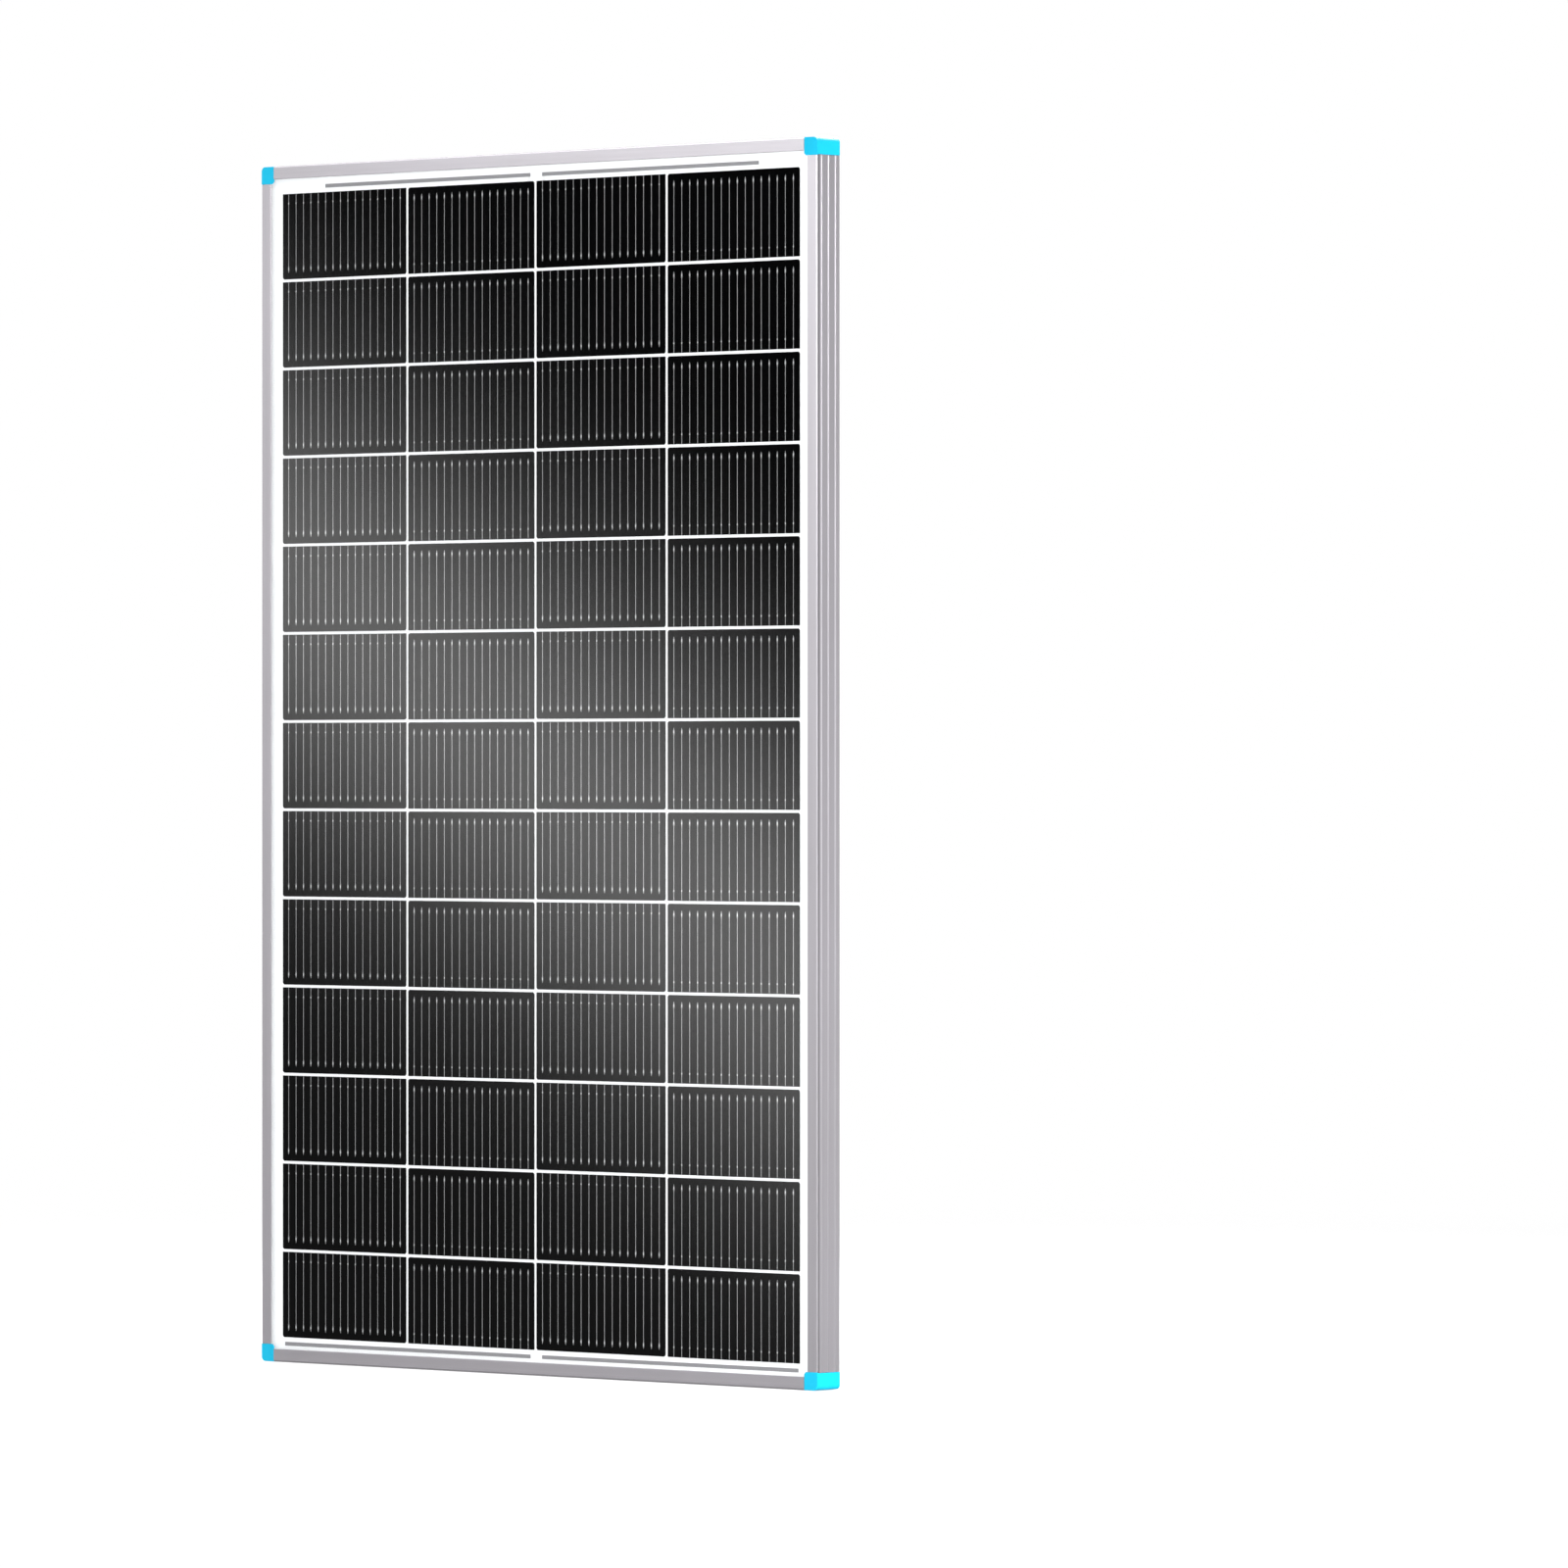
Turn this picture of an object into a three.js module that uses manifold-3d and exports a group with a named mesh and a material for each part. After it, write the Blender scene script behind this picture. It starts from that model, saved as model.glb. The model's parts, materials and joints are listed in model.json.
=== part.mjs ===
// Framed photovoltaic panel, portrait, 792 x 1275 x 35 mm, with junction box and cable leads.
// Frame of the model: +X right (seen from the glass side), +Y towards the back, +Z up.
// Origin: middle of the bottom edge, half way through the thickness.
import * as THREE from 'three';
import { mergeVertices } from 'three/addons/utils/BufferGeometryUtils.js';
import Module from 'manifold-3d';

const wasm = await Module();
wasm.setup();

// ---------------------------------------------------------------- overall dimensions (mm)
const WIDTH = 792;
const HEIGHT = 1275;
const THICKNESS = 35;
const FRONT_Y = -THICKNESS / 2;
const BACK_Y = THICKNESS / 2;
const GAP = 0.3; // assembly gap between neighbouring frame pieces

// Pieces on the back are named as seen from behind, so their left is +X.
const REAR_SIDES = [[1, 'left'], [-1, 'right']];

const MATERIALS = {
  alu: { color: 0xc9c7cb, metalness: 0.9, roughness: 0.4 },
  key: { color: 0xa9a9ad, metalness: 0.9, roughness: 0.5 },
  cap: { color: 0x12c8f4, metalness: 0.0, roughness: 0.55 },
  seal: { color: 0x26262a, metalness: 0.0, roughness: 0.8 },
  glass: { color: 0xdfe8ec, metalness: 0.0, roughness: 0.05 },
  eva: { color: 0xf0f0ee, metalness: 0.0, roughness: 0.3 },
  cell: { color: 0x14151a, metalness: 0.1, roughness: 0.35 },
  ribbon: { color: 0xb9bcc2, metalness: 0.9, roughness: 0.35 },
  sheet: { color: 0xf4f4f6, metalness: 0.0, roughness: 0.6 },
  black: { color: 0x2c2b30, metalness: 0.0, roughness: 0.5 },
  rubber: { color: 0x1d1d20, metalness: 0.0, roughness: 0.8 },
  steel: { color: 0xb5b7ba, metalness: 1.0, roughness: 0.3 },
  copper: { color: 0xc8925a, metalness: 1.0, roughness: 0.35 },
};

// ---------------------------------------------------------------- solids and meshes
// Welded, outward-facing solid from a geometry; the geometry is used up.
function solid(geometry) {
  for (const key of Object.keys(geometry.attributes)) {
    if (key !== 'position') geometry.deleteAttribute(key);
  }
  const merged = mergeVertices(geometry, 1e-4);
  const index = merged.index.array;
  const points = merged.attributes.position.array;
  const triangles = [];
  const corners = [0, 1, 2].map(() => new THREE.Vector3());
  let volume = 0; // six times the signed volume
  for (let i = 0; i < index.length; i += 3) {
    const [first, second, third] = index.slice(i, i + 3);
    if (first === second || second === third || third === first) continue;
    triangles.push(first, second, third);
    corners.forEach((corner, j) => corner.fromArray(points, index[i + j] * 3));
    volume += corners[0].dot(corners[1].cross(corners[2]));
  }
  if (volume < 0) triangles.reverse();
  return new wasm.Manifold(new wasm.Mesh({
    numProp: 3,
    vertProperties: new Float32Array(points),
    triVerts: new Uint32Array(triangles),
  }));
}

function toGeometry(manifold) {
  const { vertProperties, triVerts } = manifold.getMesh();
  const geometry = new THREE.BufferGeometry();
  const positions = new THREE.BufferAttribute(new Float32Array(vertProperties), 3);
  geometry.setAttribute('position', positions);
  geometry.setIndex(new THREE.BufferAttribute(new Uint32Array(triVerts), 1));
  geometry.computeVertexNormals();
  return geometry;
}

const join = (...solids) => solids.reduce((whole, part) => whole.add(part));
const cut = (body, ...tools) => tools.reduce((rest, tool) => rest.subtract(tool), body);

const root = new THREE.Group();

// Adds a piece, given as a geometry or a solid, to the model.
function put(name, piece, material) {
  const geometry = piece.isBufferGeometry ? piece : toGeometry(piece);
  const mesh = new THREE.Mesh(geometry, new THREE.MeshStandardMaterial(MATERIALS[material]));
  mesh.name = name;
  root.add(mesh);
}

function boxGeometry(x0, x1, y0, y1, z0, z1) {
  return new THREE.BoxGeometry(x1 - x0, y1 - y0, z1 - z0)
    .translate((x0 + x1) / 2, (y0 + y1) / 2, (z0 + z1) / 2);
}

const toVectors = (points) => points.map(([x, y]) => new THREE.Vector2(x, y));

function extrude(outline, depth, holes = []) {
  const shape = new THREE.Shape(toVectors(outline));
  for (const hole of holes) shape.holes.push(new THREE.Path(toVectors(hole)));
  return new THREE.ExtrudeGeometry(shape, { depth, bevelEnabled: false });
}

// Outline in (y, z), along X.
const YZ_TO_X = new THREE.Matrix4().makeBasis(
  new THREE.Vector3(0, 1, 0), new THREE.Vector3(0, 0, 1), new THREE.Vector3(1, 0, 0));
const extrudeX = (outline, x0, x1, holes) =>
  extrude(outline, x1 - x0, holes).applyMatrix4(YZ_TO_X).translate(x0, 0, 0);
// Outline in (x, z), along Y.
const extrudeY = (outline, y0, y1, holes) =>
  extrude(outline, y1 - y0, holes).rotateX(Math.PI / 2).translate(0, y1, 0);

const prismX = (...args) => solid(extrudeX(...args));
const prismY = (...args) => solid(extrudeY(...args));
// Outline in (x, y), along Z.
const prismZ = (outline, z0, z1, holes) =>
  solid(extrude(outline, z1 - z0, holes).translate(0, 0, z0));

// Outline in (radius, z) turned about a vertical axis through (x, y).
// An outline that starts off the axis is closed into a ring.
function turn(outline, segments, x, y) {
  const points = toVectors(outline);
  if (points[0].x > 0) points.push(points[0].clone());
  return new THREE.LatheGeometry(points, segments).rotateX(Math.PI / 2).translate(x, y, 0);
}
const turned = (...args) => solid(turn(...args));

// ---------------------------------------------------------------- outlines
const rect = (x0, x1, z0, z1) => [[x0, z0], [x1, z0], [x1, z1], [x0, z1]];

// Angles in degrees.
function arc(x, y, radius, start, end, steps) {
  const points = [];
  for (let i = 0; i <= steps; i++) {
    const angle = (start + (end - start) * i / steps) * Math.PI / 180;
    points.push([x + radius * Math.cos(angle), y + radius * Math.sin(angle)]);
  }
  return points;
}
const circle = (x, y, radius, sides) => arc(x, y, radius, 0, 360 - 360 / sides, sides - 1);

function roundRect(x0, x1, z0, z1, radius, steps = 4) {
  return [
    ...arc(x1 - radius, z1 - radius, radius, 0, 90, steps),
    ...arc(x0 + radius, z1 - radius, radius, 90, 180, steps),
    ...arc(x0 + radius, z0 + radius, radius, 180, 270, steps),
    ...arc(x1 - radius, z0 + radius, radius, 270, 360, steps),
  ];
}

function obround(x, z, sizeX, sizeZ, steps) {
  const radius = Math.min(sizeX, sizeZ) / 2;
  if (sizeZ >= sizeX) {
    const reach = sizeZ / 2 - radius;
    return [...arc(x, z + reach, radius, 0, 180, steps),
      ...arc(x, z - reach, radius, 180, 360, steps)];
  }
  const reach = sizeX / 2 - radius;
  return [...arc(x + reach, z, radius, -90, 90, steps),
    ...arc(x - reach, z, radius, 90, 270, steps)];
}

// Grip outline of a nut: flat-topped ribs with V grooves between them.
function ribbed(x, y, outer, inner, ribs) {
  const ribFill = 0.55;
  const points = [];
  for (let i = 0; i < ribs; i++) {
    for (const [step, radius] of [[-1, inner], [-ribFill, outer], [ribFill, outer]]) {
      const angle = (2 * i + step) * Math.PI / ribs;
      points.push([x + radius * Math.cos(angle), y + radius * Math.sin(angle)]);
    }
  }
  return points;
}

// Shifts points outwards from the centre plane by offset, on the +X (1) or -X (-1) side.
const onSide = (side, points, offset = 0) => points.map(([x, other]) => [side * (offset + x), other]);

// ---------------------------------------------------------------- frame section
const WALL = 2.0; // outer wall
const LIP = { width: 13.5, thick: 1.3 };
const SHELF_Y = [-11.5, -9.9]; // shelf behind the laminate
const INNER_WALL = 1.5; // inner wall of the hollow chamber
const FLANGE_THICK = 1.8;
const FLANGE_Y = BACK_Y - FLANGE_THICK;
const GROOVES = { at: [6.3, 16.8, 27.6], width: 2.4, depth: 0.5 }; // at: from the lip plane
const SLOT_CUT_Y = [14, 19];
// Slot offsets run both ways along the rail from its middle; inset is from the outer face.
const SIDE_RAIL = {
  flange: 47.5,
  slots: [
    { offsets: [333.6, 503, 561], length: 20, breadth: 12, inset: 33.5, steps: 8 },
    { offsets: [431, 537.5], length: 12.4, breadth: 3.4, inset: 4.4, steps: 5 }, // drains
  ],
};
const END_RAIL = {
  flange: 53.5,
  slots: [
    { offsets: [257.2, 319.5], length: 20, breadth: 13, inset: 35, steps: 8 },
    { offsets: [181, 291], length: 14, breadth: 3, inset: 4.9, steps: 5 }, // drains
  ],
};

// Columns: distance in from the outer face, y.
function railProfile(flange) {
  const points = [[LIP.width - 0.4, FRONT_Y], [1.5, FRONT_Y], [0.44, FRONT_Y + 0.44],
    [0, FRONT_Y + 1.5]];
  for (const at of GROOVES.at) {
    const y = FRONT_Y + at;
    const half = GROOVES.width / 2;
    points.push([0, y - half], [GROOVES.depth, y - half + 0.3],
      [GROOVES.depth, y + half - 0.3], [0, y + half]);
  }
  points.push([0, BACK_Y - 1.0], [0.3, BACK_Y - 0.3], [1.0, BACK_Y], [flange, BACK_Y],
    [flange, FLANGE_Y], [LIP.width, FLANGE_Y], [LIP.width, SHELF_Y[0]], [WALL, SHELF_Y[0]],
    [WALL, FRONT_Y + LIP.thick], [LIP.width, FRONT_Y + LIP.thick],
    [LIP.width, FRONT_Y + 0.4]);
  const chamber = rect(WALL + 0.06, LIP.width - INNER_WALL, SHELF_Y[1], FLANGE_Y - 0.04);
  return { points, chamber };
}

// ---------------------------------------------------------------- frame corners
// A corner is (side, top). Its outlines are (distance in along X, distance in along Z).
const CORNERS = [[-1, true, 'top_left'], [1, true, 'top_right'],
  [-1, false, 'bottom_left'], [1, false, 'bottom_right']];
const fromSide = (side, inset) => side * (WIDTH / 2 - inset);
const fromEnd = (top, inset) => (top ? HEIGHT - inset : inset);
const cornerPrism = (points, side, top, y0, y1) => prismY(
  points.map(([inX, inZ]) => [fromSide(side, inX), fromEnd(top, inZ)]), y0, y1);

const CAP = { front: [17.7, 18.5], side: 17.8, back: [20, 17.8], thick: 1.7, radius: 4.7 };

// Corner cap: a skin round the corner with a plate on the front and on the back.
// With a clearance it becomes the square, oversize tool that makes room for the cap.
function cornerCap(side, top, clearance = 0) {
  const isTool = clearance > 0;
  const { radius } = CAP;
  const over = isTool ? 20 : 0;
  const thick = isTool ? WALL + 0.2 : CAP.thick;
  const [frontX, frontZ] = CAP.front.map((reach) => reach + clearance);
  const [backX, backZ] = CAP.back.map((reach) => reach + clearance);
  const skinReach = CAP.side + clearance;
  const outerCorner = isTool ? [[-over, -over]] : arc(radius, radius, radius, 180, 270, 5);
  const innerCorner = isTool
    ? [[thick + 1.6, thick], [thick, thick + 1.6]]
    : arc(radius, radius, radius - thick, 270, 180, 5);
  const chamfer = 2.2;
  const front = [[-over, frontZ], ...outerCorner, [frontX, -over],
    [frontX, frontZ - chamfer], [frontX - chamfer, frontZ]];
  const skin = [[-over, skinReach], ...outerCorner, [skinReach, -over],
    [skinReach, thick], ...innerCorner, [thick, skinReach]];
  const back = [[-over, backZ], ...outerCorner, [backX, -over], [backX, backZ]];
  return join(
    cornerPrism(skin, side, top, FRONT_Y - over, BACK_Y + over),
    cornerPrism(front, side, top, FRONT_Y - over, FRONT_Y + LIP.thick + clearance),
    cornerPrism(back, side, top, FLANGE_Y - clearance, BACK_Y + over));
}

// The mitre runs from the outer corner to where the two flange edges meet.
const MITRE_SLOPE = END_RAIL.flange / SIDE_RAIL.flange;
const MITRE_SHIFT = GAP / 2 * Math.hypot(1, MITRE_SLOPE);
const MITRE_RANGE = [-30, 90]; // distance in along X covered by the cutting tools
const mitreLine = (shift) => MITRE_RANGE.map((inX) => [inX, inX * MITRE_SLOPE + shift]);
const sideRailMitre = (side, top) =>
  cornerPrism([...mitreLine(MITRE_SHIFT), [90, -60], [-30, -60]], side, top, -30, 30);
const endRailMitre = (side, top) =>
  cornerPrism([...mitreLine(-MITRE_SHIFT), [-30, 90 * MITRE_SLOPE - MITRE_SHIFT]],
    side, top, -30, 30);

// ---------------------------------------------------------------- frame rails
function cutSlots(rail, slots, outlineAt) {
  const tools = slots.flatMap((slot) => slot.offsets.flatMap((offset) =>
    [offset, -offset].map((along) => prismY(outlineAt(slot, along), ...SLOT_CUT_Y))));
  return cut(rail, ...tools);
}

function sideRail(side) {
  const { points, chamber } = railProfile(SIDE_RAIL.flange);
  const place = ([inset, y]) => [fromSide(side, inset), y];
  let rail = prismZ(points.map(place), 0, HEIGHT, [chamber.map(place)]);
  for (const top of [true, false]) {
    rail = cut(rail, sideRailMitre(side, top), cornerCap(side, top, GAP));
  }
  return cutSlots(rail, SIDE_RAIL.slots, ({ inset, breadth, length, steps }, along) =>
    obround(fromSide(side, inset), HEIGHT / 2 + along, breadth, length, steps));
}

function endRail(top) {
  const { points, chamber } = railProfile(END_RAIL.flange);
  const place = ([inset, y]) => [y, fromEnd(top, inset)];
  let rail = prismX(points.map(place), -WIDTH / 2, WIDTH / 2, [chamber.map(place)]);
  for (const side of [1, -1]) {
    rail = cut(rail, endRailMitre(side, top), cornerCap(side, top, GAP));
  }
  return cutSlots(rail, END_RAIL.slots, ({ inset, breadth, length, steps }, along) =>
    obround(along, fromEnd(top, inset), length, breadth, steps));
}

// L-shaped block filling the hollow chambers round a mitre, crimp pockets in each arm.
function cornerKey(side, top) {
  const arm = 62;
  const outer = WALL + 0.4;
  const inner = LIP.width - INNER_WALL - 1.9;
  const y0 = SHELF_Y[1] + 0.4;
  const y1 = FLANGE_Y - 0.4;
  const outline = [[outer, outer + 1], [outer + 1, outer], [arm - 2, outer],
    [arm, outer + 1.5], [arm, inner - 1.5], [arm - 2, inner], [inner, inner],
    [inner, arm - 2], [inner - 1.5, arm], [outer + 1.5, arm], [outer, arm - 2]];
  const pocketX = rect(34, 42, outer - 1, outer + 1.6);
  const pocketZ = rect(outer - 1, outer + 1.6, 34, 42);
  return cut(cornerPrism(outline, side, top, y0, y1),
    cornerPrism(pocketX, side, top, y0 + 7, y1 - 7),
    cornerPrism(pocketZ, side, top, y0 + 7, y1 - 7));
}

put('frame_rail_left', sideRail(-1), 'alu');
put('frame_rail_right', sideRail(1), 'alu');
put('frame_rail_top', endRail(true), 'alu');
put('frame_rail_bottom', endRail(false), 'alu');
for (const [side, top, name] of CORNERS) {
  put('corner_key_' + name, cornerKey(side, top), 'key');
  put('corner_cap_' + name, cornerCap(side, top), 'cap');
}

// ---------------------------------------------------------------- laminate seal
// Rectangular ring with chamfered outer corners; insets are from the frame's outside.
function sealRing(outer, inner, y0, y1) {
  const chamfer = 1.4;
  const right = WIDTH / 2 - outer;
  const top = HEIGHT - outer;
  const outline = [[-right + chamfer, outer], [right - chamfer, outer],
    [right, outer + chamfer], [right, top - chamfer], [right - chamfer, top],
    [-right + chamfer, top], [-right, top - chamfer], [-right, outer + chamfer]];
  const opening = rect(inner - WIDTH / 2, WIDTH / 2 - inner, inner, HEIGHT - inner);
  return prismY(outline, y0, y1, [opening]);
}

// U section: a web round the laminate edge with a leg in front and a leg behind.
function frameSeal() {
  const webOuter = WALL + 0.5;
  const webInner = 4.1;
  const legInner = LIP.width - 0.5;
  return join(
    sealRing(webOuter, webInner, -16.1, -11.6),
    sealRing(webOuter + 0.2, legInner, -16.1, -15.7),
    sealRing(webOuter + 0.2, legInner, -12.0, -11.6));
}
put('frame_seal', frameSeal(), 'seal');

// ---------------------------------------------------------------- laminate
const LAMINATE_INSET = 4.5; // laminate edge to frame outside
// y of the front and rear face of each layer
const LAYER_Y = {
  glass: [-15.6, -13.6],
  frontEncapsulant: [-13.55, -13.15],
  cells: [-13.1, -12.9],
  rearEncapsulant: [-12.8, -12.45],
  backsheet: [-12.4, -12.1],
};
const CELL = { width: 182, height: 91, gap: 3, linkHalf: 3 }; // linkHalf: half link width
const COLUMNS = 4;
const ROWS = 13;
const PITCH_X = CELL.width + CELL.gap;
const PITCH_Z = CELL.height + CELL.gap;
const ARRAY_LEFT = -(COLUMNS * PITCH_X - CELL.gap) / 2;
const ARRAY_Z0 = 26.3;
const ARRAY_Z1 = ARRAY_Z0 + ROWS * PITCH_Z - CELL.gap;
const RIBBON_WIDTH = 3.9;
// x range of each lead-out, and the height at which both leave the laminate
const LEAD_OUTS = [['left', -11.5, -7.5], ['right', 9.8, 13.8]];
const LEAD_OUT_Z = 1159;

function layer([y0, y1]) {
  const half = WIDTH / 2 - LAMINATE_INSET;
  return boxGeometry(-half, half, y0, y1, LAMINATE_INSET, HEIGHT - LAMINATE_INSET);
}

// Layer with a window round each lead-out.
function windowedLayer(faces, z0, z1) {
  return cut(solid(layer(faces)),
    ...LEAD_OUTS.map(([, x0, x1]) => prismY(rect(x0 - 0.5, x1 + 0.5, z0, z1), -14, -11)));
}

put('glass_cover', layer(LAYER_Y.glass), 'glass');
put('encapsulant_front', layer(LAYER_Y.frontEncapsulant), 'eva');
put('encapsulant_rear',
  windowedLayer(LAYER_Y.rearEncapsulant, LEAD_OUT_Z - 2, 1254), 'eva');
put('backsheet',
  windowedLayer(LAYER_Y.backsheet, LEAD_OUT_Z - 1.5, LEAD_OUT_Z + 2), 'sheet');

// Column of half-cut cells joined edge to edge by soldered links.
function cellString(column) {
  const middle = ARRAY_LEFT + column * PITCH_X + CELL.width / 2;
  const edge = []; // half width, z
  for (let row = 0; row < ROWS; row++) {
    const z0 = ARRAY_Z0 + row * PITCH_Z;
    const z1 = z0 + CELL.height;
    edge.push([CELL.width / 2, z0], [CELL.width / 2, z1]);
    if (row < ROWS - 1) edge.push([CELL.linkHalf, z1], [CELL.linkHalf, z1 + CELL.gap]);
  }
  const right = edge.map(([half, z]) => [middle + half, z]);
  const left = edge.map(([half, z]) => [middle - half, z]);
  return extrudeY([...right, ...left.reverse()], ...LAYER_Y.cells);
}
for (let i = 0; i < COLUMNS; i++) put('cell_string_' + (i + 1), cellString(i), 'cell');

const TOP_RIBBON_Z = ARRAY_Z1 + 4.7;
const BOTTOM_RIBBON_Z = ARRAY_Z0 - 5.1 - RIBBON_WIDTH;
// name, start and end from the left of the cell array, z of the lower edge
const RIBBONS = [
  ['top_left', 63, 361.4, TOP_RIBBON_Z],
  ['top_right', 378, 681, TOP_RIBBON_Z],
  ['bottom_left', 3.3, 361.4, BOTTOM_RIBBON_Z],
  ['bottom_right', 378, 735, BOTTOM_RIBBON_Z],
];
for (const [name, start, end, z] of RIBBONS) {
  put('bus_ribbon_' + name, boxGeometry(ARRAY_LEFT + start, ARRAY_LEFT + end,
    ...LAYER_Y.cells, z, z + RIBBON_WIDTH), 'ribbon');
}

// Lead-outs: from the top ribbons down behind the cells and out through the backsheet.
for (const [name, x0, x1] of LEAD_OUTS) {
  const thick = 0.3;
  const y0 = -12.82;
  const rearY = -6;
  const topZ = ARRAY_Z1 + 8;
  put('lead_out_' + name, extrudeX([[y0, LEAD_OUT_Z], [rearY, LEAD_OUT_Z],
    [rearY, LEAD_OUT_Z + thick], [y0 + thick, LEAD_OUT_Z + thick],
    [y0 + thick, topZ], [y0, topZ]], x0, x1), 'ribbon');
}

// ---------------------------------------------------------------- junction box
// y values: floor and rim of the base, skirt and rear face of the lid
const BOX = {
  half: 64, z0: 1102, z1: 1200, radius: 8, wall: 2.5,
  floor: -11.5, rim: 5.5, skirt: 6.5, face: 14.5,
};
const HINGE = { y: 3.0, z: 1206.0, radius: 4.6, pin: 1.5, clearance: 0.25 };
const CLIP_HEIGHT = 19;
const CLIPS = [['upper', 1178], ['lower', 1131]]; // name, centre z
const CABLE_RADIUS = 3.7;
const LEAD_X = 31.5; // glands, leads and connectors, either side of the centre
const GLAND_Y = -1.0;

const boxOutline = (inset) => roundRect(-BOX.half + inset, BOX.half - inset,
  BOX.z0 + inset, BOX.z1 - inset, BOX.radius - inset);
const hingeBore = () =>
  prismX(circle(HINGE.y, HINGE.z, HINGE.pin + HINGE.clearance, 12), -20, 20);

function boxBase() {
  const { floor, rim, half, z0, z1 } = BOX;
  const lug = [[-20, 1198], [-5, 1198], [-5, 1209], [-6.5, 1210.5], [-18.5, 1210.5],
    [-20, 1209]];
  let base = join(
    prismY(boxOutline(0), floor, rim),
    prismY(roundRect(-half - 3, half + 3, z0 + 4, z1 - 4, 3, 2), floor, floor + 2),
    prismY(lug, floor, floor + 2));
  base = cut(base,
    prismY(boxOutline(BOX.wall), floor + 2, rim + 5),
    prismY(rect(-15, 17, 1154, 1166), floor - 3, floor + 5), // lead-out opening
    prismY(circle(-11, 1205.3, 1.9, 8), floor - 3, floor + 5)); // hole in the lug
  // hinge knuckles, outline in (y, z)
  const knuckle = [[-4, z1 - 1], [5.4, z1 - 1], [5.4, z1 + 0.3],
    ...arc(HINGE.y, HINGE.z, HINGE.radius, -20, 160, 8)];
  base = join(base, prismX(knuckle, -10.5, -5.2), prismX(knuckle, 5.2, 10.5));
  base = cut(base, hingeBore());
  // catch wedges for the side clips, outline in (x from the box side, y)
  const wedge = [[-1, -6], [5.8, -1.5], [5.8, 1], [-1, 4.5]];
  for (const side of [1, -1]) {
    for (const [, z] of CLIPS) {
      base = join(base, prismZ(onSide(side, wedge, half), z - 4.5, z + 4.5));
    }
  }
  // hollow gland spigots
  const spigot = [[0, 1090.2], [6.3, 1090.2], [6.3, z0 + 1.2], [0, z0 + 1.2]];
  const bore = [[0, 1080], [4.2, 1080], [4.2, z0 + 8], [0, z0 + 8]];
  for (const side of [1, -1]) {
    base = join(base, turned(spigot, 20, side * LEAD_X, GLAND_Y));
    base = cut(base, turned(bore, 16, side * LEAD_X, GLAND_Y));
  }
  return base;
}

function boxLid() {
  const { skirt, face, z1 } = BOX;
  const shell = cut(prismY(boxOutline(0), skirt, face),
    prismY(boxOutline(BOX.wall), skirt - 5, face - 2));
  const hingeArm = [[6.6, z1 - 1.4], [12.5, z1 - 1.4], [12.5, z1 + 3.2],
    ...arc(HINGE.y, HINGE.z, HINGE.radius, 70, 360, 14)];
  return cut(join(shell, prismX(hingeArm, -4.9, 4.9)), hingeBore());
}

// Side clip: a bridge off the lid side and a windowed plate that drops over the wedge.
function lidClip(side, z) {
  // x from the box side, y
  const outline = [[0.5, 9.6], [6.4, 9.6], [6.4, -3.2], [8.9, -3.2], [8.9, 11.0],
    [7.9, 12.0], [0.5, 12.0]];
  const opening = onSide(side, rect(5, 12, z - 5.5, z + 5.5), BOX.half);
  return cut(
    prismZ(onSide(side, outline, BOX.half), z - CLIP_HEIGHT / 2, z + CLIP_HEIGHT / 2),
    prismY(opening, -0.4, 7.0));
}

// Terminal: a stepped plate with an upstand at its lower end.
function terminal(side) {
  const plate = [[15.5, 1152], [30, 1152], [30, 1120], [40, 1120], [40, 1182], [25, 1182],
    [25, 1168], [15.5, 1168]];
  return join(
    prismY(onSide(side, plate), -8.6, -7.4),
    prismY(onSide(side, rect(33, 37, 1120, 1124)), -7.6, -3.5));
}

function bypassDiode() {
  // radius, distance along the diode
  const outline = [[0, -20], [0.7, -20], [0.7, -10], [4.2, -10], [4.2, 10], [0.7, 10],
    [0.7, 20], [0, 20]];
  return new THREE.LatheGeometry(toVectors(outline), 12)
    .rotateZ(Math.PI / 2).translate(0, -2.8, 1176);
}

put('jbox_adhesive_pad', extrudeY(roundRect(-61, 61, 1105, 1197, 4, 3), -12.0, -11.6,
  [rect(-17, 19, 1152, 1168)]), 'rubber');
put('jbox_base', boxBase(), 'black');
put('jbox_lid', boxLid(), 'black');
put('jbox_hinge_pin', new THREE.CylinderGeometry(HINGE.pin, HINGE.pin, 22, 12)
  .rotateZ(Math.PI / 2).translate(0, HINGE.y, HINGE.z), 'steel');
put('jbox_lid_gasket', extrudeY(boxOutline(0.6), 5.6, 6.4, [boxOutline(2.0)]), 'rubber');
for (const [side, sideName] of REAR_SIDES) {
  for (const [name, z] of CLIPS) {
    put('lid_clip_' + sideName + '_' + name, lidClip(side, z), 'black');
  }
}
// the terminals are named as seen from the glass side
put('terminal_left', terminal(-1), 'copper');
put('terminal_right', terminal(1), 'copper');
put('bypass_diode', bypassDiode(), 'black');

// ---------------------------------------------------------------- glands
// Turned outlines: radius, z.
const GLAND_TAPER = [[0, 1077.4], [6.6, 1077.4], [9.4, 1084.2], [0, 1084.2]];
const GLAND_BORE = [[0, 1070], [4.35, 1070], [4.35, 1083], [6.8, 1083], [6.8, 1105], [0, 1105]];
const GLAND_SEAL = [[4.0, 1083.4], [6.4, 1083.4], [6.4, 1089.8], [4.0, 1089.8]];
const STUB_Z = [1074, 1114];

function glandNut(x) {
  const body = join(
    prismZ(ribbed(x, GLAND_Y, 10.25, 9.5, 10), 1084, 1101.5),
    turned(GLAND_TAPER, 20, x, GLAND_Y));
  return cut(body, turned(GLAND_BORE, 20, x, GLAND_Y));
}

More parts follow.
